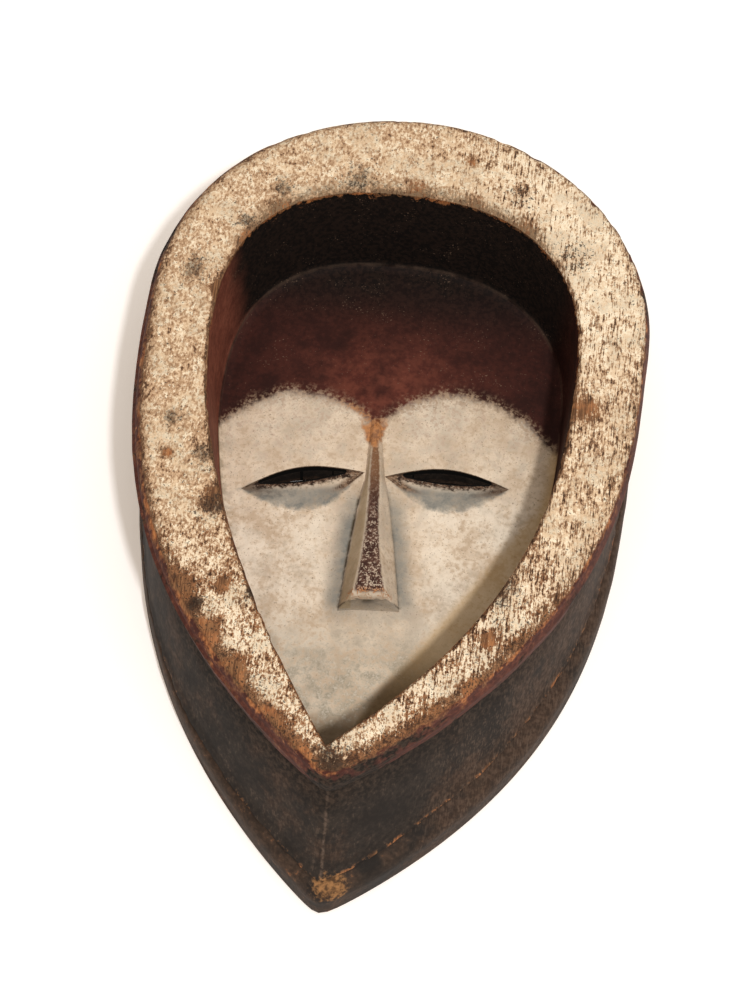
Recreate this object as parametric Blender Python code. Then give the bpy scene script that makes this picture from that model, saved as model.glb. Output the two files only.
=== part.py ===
"""Face mask carved from one block of wood, with a heart-shaped face in a deep recess inside a thick rim.

Metres. The mask lies on its flat back: +Z is its front, +Y its forehead and -Y its pointed chin.
The carving is lofted ring by ring. Each ring is an outline with a round top and two sides that
meet at the chin. Left and right differ a little, because the mask is cut by hand.
"""

import math
from dataclasses import dataclass

import bmesh
import bpy
from mathutils import Matrix, Vector

# Front rim. The plan's middle line crosses the face below its eyes.
RIM_TOP = 0.1964            # from the middle line up to the top of the rim
RIM_CHIN = 0.1517           # from the middle line down to the rim's chin
RIM_LEFT = 0.1216
RIM_RIGHT = 0.1184
RIM_THICKNESS = 0.0214
RIM_BAND_SIDE = 0.0322      # width of the rim's flat front at the sides
RIM_BAND_TOP = 0.0444
RIM_BAND_CHIN = 0.0140
RIM_OUTER_ROUND = 0.0045
RIM_INNER_ROUND = 0.0015
RIM_SIDE_BULGE = 0.0016

# Body behind the rim
MASK_HEIGHT = 0.0979        # from the flat back to the front of the rim
UNDERCUT = 0.0045           # step in from the rim to the body
UNDERCUT_HEIGHT = 0.0060
CHIN_FLARE = 0.0330         # how far the back's edge stands out past the rim at the chin
SIDE_FLARE = 0.0020
TOP_FLARE = 0.0050
FLANGE_HEIGHT = 0.0223
FLANGE_ROUND = 0.0085       # height over which the flange's front rounds into its side
FLANGE_SIDE = 0.0028        # depth of the flange's front at the sides and top
FLANGE_CHIN = 0.0090

# Recess, and the hollow behind the face
FACE_WALL = 0.0105
HOLLOW_DEPTH = 0.0218
HOLLOW_EDGE = 0.0210        # width of the flat ring that the mask lies on
HOLLOW_SLOPE = 0.0120       # how far the hollow's wall runs in on its way up
RECESS_DRAFT = 0.0028
RECESS_FILLET = 0.0035

# Face
FACE_TILT = math.radians(5.8)
FACE_SHIFT = -0.0046        # sideways place of the bridge of the nose
EYE_LINE = 0.0251           # corners of the eyes, above the middle line
FACE_DOME = 0.0050
BROW_KEEL = 0.0022
KEEL_WIDTH = 0.0120
CHEEK_HOLLOW = 0.0020
HOLLOW_WIDTH = 0.0080
EYE_SPACING = 0.0704        # between the middles of the two eyes
EYE_LENGTH = 0.0610
EYE_UPPER = 0.0071          # rise of the upper lid's arc
EYE_LOWER = 0.0155          # fall of the lower lid's facet
EYE_SINK = 0.0045
LEFT_EYE_DROOP = math.radians(7.5)
RIGHT_EYE_DROOP = math.radians(-3.8)
SLIT_LENGTH = 0.0420
SLIT_WIDTH = 0.0050
SLIT_GAP = 0.0004           # between the slit and the wall of the upper lid
NOSE_LENGTH = 0.0670
NOSE_BASE_WIDTH = 0.0290
NOSE_RIDGE_WIDTH = 0.0160
NOSE_HEIGHT = 0.0140
NOSE_END_SLOPE = 0.0025
NOSE_DRIFT = -0.0019        # the nose's end lies a little to the left
NOSE_ROOT = 0.0020          # how deep its foot runs into the face
BRIDGE_BASE_WIDTH = 0.0100
BRIDGE_RIDGE_WIDTH = 0.0055
BRIDGE_HEIGHT = 0.0050
BROW_LENGTH = 0.0330        # from the eye line up to the point between the brows
BROW_WIDTH = 0.0045
BROW_HEIGHT = 0.0008

# Shape of the outlines. The widest line is a share of the way up to the top.
RIM_WIDE = 0.43
RECESS_WIDE = 0.44
BACK_WIDE = 0.49
CHIN_DRIFT = -0.0055        # the chin lies a little to the left
RECESS_CHIN_DRIFT = -0.0080
TOP_DRIFT = -0.0040
RIM_POWERS = (2.06, 2.77, 2.85)         # roundness of the top, the left side and the right side
RECESS_POWERS = (2.48, 1.80, 2.58)
BACK_POWERS = (2.06, 2.75, 3.30)
BODY_FOOT_POWERS = (2.06, 3.00, 3.04)

# Facets
QUARTER_STEPS = 24
BODY_STEPS = 3
ROUND_STEPS = 3
FACE_RINGS = 13
HOLLOW_RINGS = 3
LENS_STEPS = 14
NOSE_STEPS = 5
CUT_MARGIN = 0.0100

WOOD_COLOUR = (0.050, 0.036, 0.028, 1.0)
WOOD_ROUGHNESS = 0.62


@dataclass
class Outline:
    """A closed outline with a round top and two sides that meet in a point at the chin."""

    left: float
    right: float
    top: float
    wide: float
    chin: float
    chin_drift: float
    powers: tuple

    def grown(self, side, top=None, chin=None):
        """The same outline, larger by a distance at the sides, at the top and at the chin."""
        top = side if top is None else top
        chin = side if chin is None else chin
        return Outline(self.left + side, self.right + side, self.top + top, self.wide,
                       self.chin + chin, self.chin_drift, self.powers)

    def upper(self, half_width, share):
        """A point of the round top. share is 0 at the top and 1 at the widest line."""
        across = math.sin(share * math.pi / 2) ** (2 / self.powers[0])
        up = math.cos(share * math.pi / 2) ** (2 / self.powers[0])
        return half_width * across + TOP_DRIFT * up ** 2, self.wide + (self.top - self.wide) * up

    def lower(self, half_width, power, share):
        """A point of a side. share is 0 at the widest line and 1 at the chin."""
        x = half_width * (1 - share ** power) + self.chin_drift * share ** 2
        return x, self.wide - (self.chin + self.wide) * share

    def points(self):
        """The outline's points, clockwise from the top when seen from the front."""
        shares = [step / QUARTER_STEPS for step in range(QUARTER_STEPS + 1)]
        _, left_power, right_power = self.powers
        right = [self.upper(self.right, share) for share in shares[:-1]]
        right += [self.lower(self.right, right_power, share) for share in shares[:-1]]
        left = [self.upper(-self.left, share) for share in shares[1:-1]]
        left += [self.lower(-self.left, left_power, share) for share in shares]
        return right + left[::-1]


def rim_outline():
    return Outline(RIM_LEFT, RIM_RIGHT, RIM_TOP, RIM_TOP * RIM_WIDE, RIM_CHIN, CHIN_DRIFT, RIM_POWERS)


def recess_outline():
    """The recess's mouth, inside the rim's flat front."""
    top = RIM_TOP - RIM_BAND_TOP
    return Outline(RIM_LEFT - RIM_BAND_SIDE, RIM_RIGHT - RIM_BAND_SIDE, top, top * RECESS_WIDE,
                   RIM_CHIN - RIM_BAND_CHIN, RECESS_CHIN_DRIFT, RECESS_POWERS)


def back_outline(powers=BACK_POWERS):
    """The flat back's outer edge, a little wider than the rim and far longer at the chin."""
    top = RIM_TOP + TOP_FLARE
    return Outline(RIM_LEFT + SIDE_FLARE, RIM_RIGHT + SIDE_FLARE, top, top * BACK_WIDE,
                   RIM_CHIN + CHIN_FLARE, CHIN_DRIFT, powers)


def face_edge():
    """Where the face meets the fillet at the foot of the recess's wall."""
    return recess_outline().grown(-RECESS_DRAFT - RECESS_FILLET).points()


def blended(first, second, share):
    """The ring of points that lies a share of the way from one ring to another."""
    return [(ax + (bx - ax) * share, ay + (by - ay) * share)
            for (ax, ay), (bx, by) in zip(first, second)]


def face_to_plan(across, along):
    """A point of the tilted face, given from the bridge of the nose, in the mask's plan."""
    point = Matrix.Rotation(FACE_TILT, 2) @ Vector((across, along))
    return point.x + FACE_SHIFT, point.y + EYE_LINE


def plan_to_face(x, y):
    return Matrix.Rotation(-FACE_TILT, 2) @ Vector((x - FACE_SHIFT, y - EYE_LINE))


def edge_share(x, y):
    """How far a point lies on the way from the bridge of the nose, 0, to the face's edge, 1."""
    centre = Vector(face_to_plan(0.0, 0.0))
    ray = Vector((x, y)) - centre
    ring = [Vector(point) - centre for point in face_edge()]
    for first, second in zip(ring, ring[1:] + ring[:1]):
        side = second - first
        facing = ray.cross(side)
        if abs(facing) < 1e-12:
            continue
        reach = first.cross(side) / facing
        place = first.cross(ray) / facing
        if reach > 0 and -1e-9 <= place <= 1 + 1e-9:
            return 1 / reach
    return 0.0


def bell(value, width):
    return math.exp(-(value / width) ** 2)


def face_level(x, y):
    """Height of the face: a low dome with a keel on the forehead and a hollow on each side of the nose."""
    share = edge_share(x, y)
    across, along = plan_to_face(x, y)
    dome = FACE_DOME * (1 - share ** 2)
    forehead = 1 / (1 + math.exp((BROW_LENGTH / 2 - along) / KEEL_WIDTH * 1.5))
    keel = BROW_KEEL * bell(across, KEEL_WIDTH) * forehead * (1 - share ** 4)
    beside_nose = abs(across) - NOSE_BASE_WIDTH / 2 - HOLLOW_WIDTH
    hollow = CHEEK_HOLLOW * bell(beside_nose, HOLLOW_WIDTH) * bell(along + NOSE_LENGTH * 0.6, NOSE_LENGTH * 0.45)
    return HOLLOW_DEPTH + FACE_WALL + dome + keel - hollow


def round_over(outer, inner, level, height):
    """(ring, level) pairs on a quarter round, from an upright side in to a flat front."""
    pairs = []
    for step in range(ROUND_STEPS + 1):
        angle = math.pi / 2 * step / ROUND_STEPS
        ring = blended(outer, inner, 1 - math.cos(angle))
        pairs.append((ring, level - height * (1 - math.sin(angle))))
    return pairs


def outer_rings():
    """(ring, level) pairs from the back's edge up the outside to the front of the rim."""
    rim = rim_outline()
    back = back_outline().points()
    foot = back_outline(BODY_FOOT_POWERS).grown(-FLANGE_SIDE, -FLANGE_SIDE, -FLANGE_CHIN).points()
    neck = rim.grown(-UNDERCUT).points()
    rim_back = MASK_HEIGHT - RIM_THICKNESS
    neck_level = rim_back - UNDERCUT_HEIGHT
    pairs = [(back, 0.0)] + round_over(back, foot, FLANGE_HEIGHT, FLANGE_ROUND)
    for step in range(1, BODY_STEPS + 1):
        share = step / BODY_STEPS
        pairs.append((blended(foot, neck, share), FLANGE_HEIGHT + (neck_level - FLANGE_HEIGHT) * share))
    pairs += [
        (neck, rim_back),
        (rim.points(), rim_back),
        (rim.grown(RIM_SIDE_BULGE).points(), rim_back + RIM_THICKNESS / 2),
    ]
    return pairs + round_over(rim.points(), rim.grown(-RIM_OUTER_ROUND).points(), MASK_HEIGHT, RIM_OUTER_ROUND)


def recess_rings():
    """(ring, level) pairs from the front of the rim down the recess's wall to the face's edge."""
    mouth = recess_outline()
    foot = mouth.grown(-RECESS_DRAFT).points()
    edge_level = HOLLOW_DEPTH + FACE_WALL
    return [
        (mouth.grown(RIM_INNER_ROUND).points(), MASK_HEIGHT),
        (mouth.points(), MASK_HEIGHT - RIM_INNER_ROUND),
        (foot, edge_level + RECESS_FILLET),
        (blended(foot, face_edge(), 0.3), edge_level + RECESS_FILLET * 0.3),
        (face_edge(), edge_level),
    ]


def add_ring(mesh, ring, level):
    return [mesh.verts.new((x, y, level)) for x, y in ring]


def bridge(mesh, first, second):
    """Joins two rings of vertices with a band of quads."""
    count = len(first)
    for index in range(count):
        following = (index + 1) % count
        mesh.faces.new((first[index], first[following], second[following], second[index]))


def close_fan(mesh, ring, middle):
    for index, vertex in enumerate(ring):
        mesh.faces.new((vertex, ring[(index + 1) % len(ring)], middle))


def carved_block():
    """The whole carving without its eyes and nose, as one closed body."""
    mesh = bmesh.new()
    centre = face_to_plan(0.0, 0.0)
    edge = face_edge()
    front = [add_ring(mesh, ring, level) for ring, level in outer_rings() + recess_rings()]
    for step in range(1, FACE_RINGS):
        ring = blended(edge, [centre] * len(edge), step / FACE_RINGS)
        front.append([mesh.verts.new((x, y, face_level(x, y))) for x, y in ring])
    close_fan(mesh, front[-1], mesh.verts.new((*centre, face_level(*centre))))

    mouth = back_outline().grown(-HOLLOW_EDGE).points()
    roof = back_outline().grown(-HOLLOW_EDGE - HOLLOW_SLOPE).points()
    back = [add_ring(mesh, mouth, 0.0)]
    for step in range(HOLLOW_RINGS):
        ring = blended(roof, [centre] * len(roof), step / HOLLOW_RINGS)
        back.append(add_ring(mesh, ring, HOLLOW_DEPTH))
    close_fan(mesh, back[-1], mesh.verts.new((*centre, HOLLOW_DEPTH)))

    loops = back[::-1] + front
    for first, second in zip(loops, loops[1:]):
        bridge(mesh, first, second)
    bmesh.ops.recalc_face_normals(mesh, faces=mesh.faces)
    return new_object("mask", mesh)


def loft(name, sections):
    """A closed body through sections that all have the same number of points."""
    mesh = bmesh.new()
    loops = [[mesh.verts.new(point) for point in section] for section in sections]
    for first, second in zip(loops, loops[1:]):
        bridge(mesh, first, second)
    mesh.faces.new(loops[0])
    mesh.faces.new(loops[-1])
    bmesh.ops.recalc_face_normals(mesh, faces=mesh.faces)
    return new_object(name, mesh)


def eye_point(side, across, along, lift):
    """A point near an eye, given in the eye's own drooping frame, at a height over the face."""
    droop = LEFT_EYE_DROOP if side < 0 else RIGHT_EYE_DROOP
    turned = Matrix.Rotation(droop, 2) @ Vector((across, along))
    x, y = face_to_plan(side * EYE_SPACING / 2 + turned.x, turned.y)
    return x, y, face_level(x, y) + lift


def lens_shares():
    """Steps along a pointed lens, with the lens's swell at each, from one corner to the other."""
    for step in range(LENS_STEPS + 1):
        share = (step + 0.2) / (LENS_STEPS + 0.4)
        yield share, math.sin(math.pi * share)


def socket_cutter(side):
    """Cuts an eye: an upright upper lid, and from its foot a lower lid that slopes out to the cheek."""
    sections = []
    for share, swell in lens_shares():
        across = EYE_LENGTH * (share - 0.5)
        upper = EYE_UPPER * swell
        step_in = SLIT_WIDTH * swell
        fall = EYE_LOWER * swell
        sink = EYE_SINK * swell ** 0.5
        past = CUT_MARGIN / EYE_SINK
        sections.append([
            eye_point(side, across, upper, CUT_MARGIN),
            eye_point(side, across, upper, -sink),
            eye_point(side, across, upper - step_in, -sink),
            eye_point(side, across, -fall - (fall + upper - step_in) * past, sink * past),
        ])
    return loft("socket_cutter", sections)


def slit_cutter(side):
    """Cuts the narrow slit through the face. Its upper edge follows the upper lid."""
    sections = []
    for share, swell in lens_shares():
        across = SLIT_LENGTH * (share - 0.5)
        upper = EYE_UPPER * math.cos(math.pi * across / EYE_LENGTH) - SLIT_GAP
        lower = upper - SLIT_WIDTH * swell
        under = -FACE_WALL - CUT_MARGIN
        corners = [(upper, CUT_MARGIN), (lower, CUT_MARGIN), (lower, under), (upper, under)]
        sections.append([eye_point(side, across, along, lift) for along, lift in corners])
    return loft("slit_cutter", sections)


def nose_stations():
    """Place along the face, ridge width, base width and height of each section of the nose."""
    yield BROW_LENGTH, BROW_WIDTH / 2, BROW_WIDTH, BROW_HEIGHT
    for step in range(NOSE_STEPS + 1):
        share = step / NOSE_STEPS
        ridge = BRIDGE_RIDGE_WIDTH + (NOSE_RIDGE_WIDTH - BRIDGE_RIDGE_WIDTH) * share ** 2.5
        base = BRIDGE_BASE_WIDTH + (NOSE_BASE_WIDTH - BRIDGE_BASE_WIDTH) * share ** 0.75
        height = BRIDGE_HEIGHT + (NOSE_HEIGHT - BRIDGE_HEIGHT) * share
        yield -NOSE_LENGTH * share, ridge, base, height


def nose_wedge():
    """The nose, with a flat ridge and a blunt end, and the keel that runs on up between the brows."""
    sections = []
    for along, ridge, base, height in nose_stations():
        down = max(0.0, -along / NOSE_LENGTH)
        surface = face_level(*face_to_plan(0.0, along))
        root = ridge / 2 + (base - ridge) / 2 * (1 + NOSE_ROOT / height)
        foot = along - NOSE_END_SLOPE * down
        corners = [(-root, foot, -NOSE_ROOT), (-ridge / 2, along, height),
                   (ridge / 2, along, height), (root, foot, -NOSE_ROOT)]
        sections.append([(*face_to_plan(across + NOSE_DRIFT * down, place), surface + lift)
                         for across, place, lift in corners])
    return loft("nose_wedge", sections)


def new_object(name, mesh):
    data = bpy.data.meshes.new(name)
    mesh.to_mesh(data)
    mesh.free()
    item = bpy.data.objects.new(name, data)
    bpy.context.scene.collection.objects.link(item)
    return item


def combine(target, tool, operation):
    """Keeps a Boolean with a hidden tool body on the target."""
    tool.hide_render = True
    tool.display_type = "WIRE"
    step = target.modifiers.new(tool.name, "BOOLEAN")
    step.operation = operation
    step.solver = "EXACT"
    step.object = tool


def wood():
    material = bpy.data.materials.new("carved wood")
    material.use_nodes = True
    surface = material.node_tree.nodes["Principled BSDF"]
    surface.inputs["Base Color"].default_value = WOOD_COLOUR
    surface.inputs["Roughness"].default_value = WOOD_ROUGHNESS
    surface.inputs["Metallic"].default_value = 0.0
    return material


def centre_on_box(items):
    """Moves the meshes so that the origin is at the bottom centre of the first one's box."""
    points = [vertex.co for vertex in items[0].data.vertices]
    middle_x = (min(point.x for point in points) + max(point.x for point in points)) / 2
    middle_y = (min(point.y for point in points) + max(point.y for point in points)) / 2
    for item in items:
        item.data.transform(Matrix.Translation((-middle_x, -middle_y, 0.0)))


def main():
    for item in list(bpy.data.objects):
        bpy.data.objects.remove(item)
    mask = carved_block()
    cutters = [make(side) for side in (-1, 1) for make in (socket_cutter, slit_cutter)]
    wedge = nose_wedge()
    centre_on_box([mask, wedge] + cutters)
    for cutter in cutters:
        combine(mask, cutter, "DIFFERENCE")
    combine(mask, wedge, "UNION")
    mask.data.materials.append(wood())
    mask.data.shade_smooth()
    mask.data.set_sharp_from_angle(angle=math.radians(35))


main()
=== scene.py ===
# %% [markdown]
# # A carved mask with a heart-shaped face
# The mask is one block of wood. A thick egg-shaped rim stands round a deep recess, and a white
# heart-shaped face with two slit eyes and a wedge nose lies at the bottom of it. Behind the rim a
# dark body flares out to a flange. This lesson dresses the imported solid: it carves the same form
# again in a fine mesh, with tool marks and worn edges, paints it in layers, and lights it.

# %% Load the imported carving
import math
from collections import namedtuple

import bpy
import numpy as np
from mathutils import Matrix, Vector, kdtree, noise


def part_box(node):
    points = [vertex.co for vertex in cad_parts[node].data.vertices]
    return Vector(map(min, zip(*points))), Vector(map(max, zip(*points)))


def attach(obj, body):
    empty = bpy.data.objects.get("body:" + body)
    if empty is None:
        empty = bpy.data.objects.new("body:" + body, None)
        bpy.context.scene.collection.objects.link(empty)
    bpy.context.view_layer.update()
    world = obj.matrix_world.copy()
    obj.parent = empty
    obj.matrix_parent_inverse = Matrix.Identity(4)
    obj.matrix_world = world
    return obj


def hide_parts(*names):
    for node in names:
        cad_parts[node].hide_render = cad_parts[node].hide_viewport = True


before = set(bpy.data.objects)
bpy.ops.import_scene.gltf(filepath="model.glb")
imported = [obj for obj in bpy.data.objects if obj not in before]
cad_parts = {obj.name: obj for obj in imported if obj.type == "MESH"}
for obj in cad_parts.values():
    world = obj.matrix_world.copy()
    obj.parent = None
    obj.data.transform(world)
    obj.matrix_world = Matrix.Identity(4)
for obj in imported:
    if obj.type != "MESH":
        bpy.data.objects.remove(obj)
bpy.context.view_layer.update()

MASK_LOW, MASK_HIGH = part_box("mask")
bpy.ops.object.select_all(action="DESELECT")

# %% [markdown]
# ## The outlines
# A carver draws the rim, the mouth of the recess and the back on the block before cutting. Each
# outline has a round top and two sides that meet in a point at the chin. Drawn by hand they are
# not quite even, so left and right have their own widths and their own roundness. A formula draws
# them here, because the same few sizes then fit the recess inside the rim and the rim on the body.

# %% Draw the outlines
QUARTER_STEPS = 100
COLUMNS = 4 * QUARTER_STEPS
TOP_DRIFT = -0.0040         # the top lies a little to the left
CHIN_DRIFT = -0.0055        # and so does the chin
RECESS_CHIN_DRIFT = -0.0080

# wide is the height of the widest place. powers are the roundness of the top, left and right.
Outline = namedtuple("Outline", "left right top wide chin chin_drift powers")


def grown(shape, side, top=None, chin=None):
    """The same outline, larger by a distance at the sides, at the top and at the chin."""
    top = side if top is None else top
    chin = side if chin is None else chin
    return shape._replace(left=shape.left + side, right=shape.right + side,
                          top=shape.top + top, chin=shape.chin + chin)


def ring(shape):
    """The outline's points, clockwise from the top when seen from the front."""
    share = np.arange(QUARTER_STEPS + 1) / QUARTER_STEPS
    top_power, left_power, right_power = shape.powers
    across = np.sin(share * np.pi / 2) ** (2 / top_power)
    up = np.abs(np.cos(share * np.pi / 2)) ** (2 / top_power)
    arch = shape.wide + (shape.top - shape.wide) * up
    fall = shape.wide - (shape.chin + shape.wide) * share

    def upper(width):
        return np.column_stack((width * across + TOP_DRIFT * up ** 2, arch))

    def lower(width, power):
        return np.column_stack((width * (1 - share ** power) + shape.chin_drift * share ** 2, fall))

    return np.vstack((upper(shape.right)[:-1], lower(shape.right, right_power)[:-1],
                      lower(-shape.left, left_power)[::-1], upper(-shape.left)[1:-1][::-1]))


RIM_TOP = 0.1964            # from the plan's middle line up to the top of the rim
RIM_CHIN = 0.1517
RIM_LEFT = 0.1216
RIM_RIGHT = 0.1184
RIM_BAND_SIDE = 0.0322      # width of the rim's flat front
RIM_BAND_TOP = 0.0444
RIM_BAND_CHIN = 0.0140
TOP_FLARE = 0.0050          # how far the back stands out past the rim
SIDE_FLARE = 0.0020
CHIN_FLARE = 0.0330
RECESS_TOP = RIM_TOP - RIM_BAND_TOP
BACK_TOP = RIM_TOP + TOP_FLARE

RIM = Outline(RIM_LEFT, RIM_RIGHT, RIM_TOP, RIM_TOP * 0.43, RIM_CHIN, CHIN_DRIFT, (2.06, 2.77, 2.85))
RECESS = Outline(RIM_LEFT - RIM_BAND_SIDE, RIM_RIGHT - RIM_BAND_SIDE, RECESS_TOP, RECESS_TOP * 0.44,
                 RIM_CHIN - RIM_BAND_CHIN, RECESS_CHIN_DRIFT, (2.48, 1.80, 2.58))
BACK = Outline(RIM_LEFT + SIDE_FLARE, RIM_RIGHT + SIDE_FLARE, BACK_TOP, BACK_TOP * 0.49,
               RIM_CHIN + CHIN_FLARE, CHIN_DRIFT, (2.06, 2.86, 3.35))
FLANGE_SIDE = 0.0028
FLANGE_CHIN = 0.0090
BODY_FOOT = grown(BACK._replace(powers=(2.06, 3.05, 3.08)), -FLANGE_SIDE, chin=-FLANGE_CHIN)
print("columns round the carving:", COLUMNS)

# %% [markdown]
# ## The face's own axes
# The face is tilted a little in the mask, and its middle is the bridge of the nose. Eyes, nose
# and paint are all placed along its own axes: across the face, and along it towards the forehead.
# The face is a low dome with a soft keel on the forehead and a hollow on each side of the nose.
# Its height is one function of the place, so that the eyes, the nose and the paint can follow it.

# %% Shape the face
MASK_HEIGHT = 0.0979
FACE_WALL = 0.0105
HOLLOW_DEPTH = 0.0218
FACE_LEVEL = HOLLOW_DEPTH + FACE_WALL
RECESS_DRAFT = 0.0028
RECESS_FILLET = 0.0035
FACE_TILT = math.radians(5.8)
FACE_SHIFT = -0.0046
EYE_LINE = 0.0251
FACE_DOME = 0.0050
BROW_KEEL = 0.0022
KEEL_WIDTH = 0.0120
CHEEK_HOLLOW = 0.0020
HOLLOW_WIDTH = 0.0080
BROW_LENGTH = 0.0330
NOSE_LENGTH = 0.0670
NOSE_BASE_WIDTH = 0.0290
FACE_EDGE = ring(grown(RECESS, -RECESS_DRAFT - RECESS_FILLET))


def face_to_plan(across, along):
    cosine, sine = math.cos(FACE_TILT), math.sin(FACE_TILT)
    return (np.asarray(across) * cosine - np.asarray(along) * sine + FACE_SHIFT,
            np.asarray(across) * sine + np.asarray(along) * cosine + EYE_LINE)


def plan_to_face(x, y):
    cosine, sine = math.cos(FACE_TILT), math.sin(FACE_TILT)
    right, up = np.asarray(x) - FACE_SHIFT, np.asarray(y) - EYE_LINE
    return right * cosine + up * sine, up * cosine - right * sine


def bell(value, width):
    return np.exp(-(value / width) ** 2)


FACE_CENTRE = np.array(face_to_plan(0.0, 0.0))
edge_rays = FACE_EDGE - FACE_CENTRE
edge_turn = np.arctan2(edge_rays[:, 1], edge_rays[:, 0])
edge_order = np.argsort(edge_turn)


def edge_share(x, y):
    """How far a point lies on the way from the bridge of the nose, 0, to the face's edge, 1."""
    right, up = np.asarray(x) - FACE_CENTRE[0], np.asarray(y) - FACE_CENTRE[1]
    reach = np.interp(np.arctan2(up, right), edge_turn[edge_order],
                      np.hypot(*edge_rays.T)[edge_order], period=2 * np.pi)
    return np.hypot(right, up) / reach


def face_level(x, y):
    share = np.minimum(edge_share(x, y), 1.0)
    across, along = plan_to_face(x, y)
    dome = FACE_DOME * (1 - share ** 2)
    forehead = 1 / (1 + np.exp((BROW_LENGTH / 2 - along) / KEEL_WIDTH * 1.5))
    keel = BROW_KEEL * bell(across, KEEL_WIDTH) * forehead * (1 - share ** 4)
    beside_nose = np.abs(across) - NOSE_BASE_WIDTH / 2 - HOLLOW_WIDTH
    beside_tip = along + NOSE_LENGTH * 0.6
    hollow = CHEEK_HOLLOW * bell(beside_nose, HOLLOW_WIDTH) * bell(beside_tip, NOSE_LENGTH * 0.45)
    return FACE_LEVEL + dome + keel - hollow


print("face height, edge and bridge:", FACE_LEVEL, round(float(face_level(*FACE_CENTRE)), 4))

# %% [markdown]
# ## The eyes' lower lids
# Under each slit the cheek is pared away to a slanting facet that fades into the face. A knife
# would do it in a few strokes. A cutter would leave a hard border all round, so the facet is
# pressed into the sheet's own points instead, and only the upright upper lid is cut later.

# %% Shape the lower lids
EYE_SPACING = 0.0704
EYE_LENGTH = 0.0610
EYE_UPPER = 0.0071
EYE_LOWER = 0.0155
EYE_SINK = 0.0045
SLIT_LENGTH = 0.0420
SLIT_WIDTH = 0.0050
SLIT_GAP = 0.0004
DROOP = {-1: math.radians(7.5), 1: math.radians(-3.8)}
LID_STEP = 0.0022           # the facet stays this far below the upper lid, where the cutter works


def eye_axes(side, across, along):
    """A place of the face along one eye's own drooping axes."""
    cosine, sine = math.cos(DROOP[side]), math.sin(DROOP[side])
    right = np.asarray(across) - side * EYE_SPACING / 2
    return right * cosine + along * sine, along * cosine - right * sine


def eye_to_plan(side, across, along):
    cosine, sine = math.cos(DROOP[side]), math.sin(DROOP[side])
    return face_to_plan(across * cosine - along * sine + side * EYE_SPACING / 2,
                        across * sine + along * cosine)


def swell(across, length):
    """1 in the middle of a lens of that length, and 0 at its two corners."""
    return np.cos(np.pi * np.clip(across / length, -0.5, 0.5))


def soft(value, low, high):
    """Rises smoothly from 0 at low to 1 at high."""
    share = np.clip((value - low) / (high - low), 0, 1)
    return share * share * (3 - 2 * share)


def lid_depth(x, y):
    depth = 0.0
    for side in DROOP:
        across, along = eye_axes(side, *plan_to_face(x, y))
        lens = swell(across, EYE_LENGTH)
        upper = EYE_UPPER * lens
        lower = -EYE_LOWER * lens
        slope = np.clip((along - lower) / np.maximum(upper - SLIT_WIDTH * lens - lower, 1e-6), 0, 1)
        under = soft(upper - along, 0.0004, LID_STEP)
        depth = depth + EYE_SINK * lens ** 0.5 * slope ** 1.25 * under * (lens > 0)
    return depth


print("deepest point of a lower lid:", round(float(lid_depth(*eye_to_plan(-1, 0.0, 0.0))), 4))

# %% [markdown]
# ## The carving, as one rolled sheet
# Cut through its middle, the mask is one closed line: the hollow's roof, the flat back, the
# flange, the body, the rim, the recess and the face. It could be built from stacked rings with a
# bridge between each two. Here a flat grid is added once, and each of its rows takes the place of
# one ring. Every row then has as many points, so sizes along and round the carving can be
# measured on the grid, and the paint later knows how far each point lies from an edge.

# %% Lay out the rows
RIM_THICKNESS = 0.0214
RIM_SIDE_BULGE = 0.0016
RIM_INNER_ROUND = 0.0015
RIM_ROUND_RIGHT = 0.0045    # the rim's outer edge is crisper on the right than on the left
RIM_ROUND_LEFT = 0.0090
UNDERCUT = 0.0045
UNDERCUT_HEIGHT = 0.0060
FLANGE_HEIGHT = 0.0223
FLANGE_ROUND = 0.0085
CREST_HEIGHT = 0.0016       # the body's foot overhangs the flange by a thin worn lip
HOLLOW_EDGE = 0.0210
HOLLOW_SLOPE = 0.0120
ARRIS = 0.0012              # the back's outer edge is a little blunt
CHIN_RUB = 0.0030           # how far the chin's edge is rubbed round
FLANGE_ROUND_END = 0.12     # the flange's rounding ends this share of its width before the body
GROOVE_IN = 0.003           # shares of the way to the middle, under the lip and out to its edge
LIP_OUT = 0.006
LIP_BLEND = 0.12            # the lip runs into the body over this share of its height
RIM_ROUND_STEPS = 6
FACE_ROWS = 52


def rubbed(shape):
    """An outer outline with its chin rubbed round, and no shorter for it."""
    points = ring(grown(shape, 0.0, chin=CHIN_RUB))
    tip = points[:, 1].min()
    points[:, 1] = tip + np.hypot(points[:, 1] - tip, CHIN_RUB)
    return points


RIM_BACK = MASK_HEIGHT - RIM_THICKNESS
rim_ring = rubbed(RIM)
neck_ring = rubbed(grown(RIM, -UNDERCUT))
recess_ring = ring(RECESS)
foot_ring = ring(grown(RECESS, -RECESS_DRAFT))
back_ring = rubbed(BACK)
body_foot_ring = rubbed(BODY_FOOT)
middle = np.tile(FACE_CENTRE, (COLUMNS, 1))
rows = []
row_named = {}


def row(points, level, steps=1, name=None):
    """Adds rows that lead from the last one to these points, and may name the last of them."""
    target = np.column_stack((points, np.broadcast_to(level, COLUMNS)))
    start = rows[-1] if rows else target
    for step in range(1, steps + 1):
        rows.append(start + (target - start) * step / steps)
    if name:
        row_named[name] = len(rows) - 1


def round_over(outer, inner, level, height, steps):
    """Rows on a quarter round, from an upright side in to a flat front."""
    for step in range(1, steps + 1):
        angle = math.pi / 2 * step / steps
        row(outer + (inner - outer) * (1 - math.cos(angle)), level - height * (1 - math.sin(angle)))


print("top of the rim's outline, in mm:", np.round(rim_ring[0] * 1000, 1).tolist())

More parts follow.
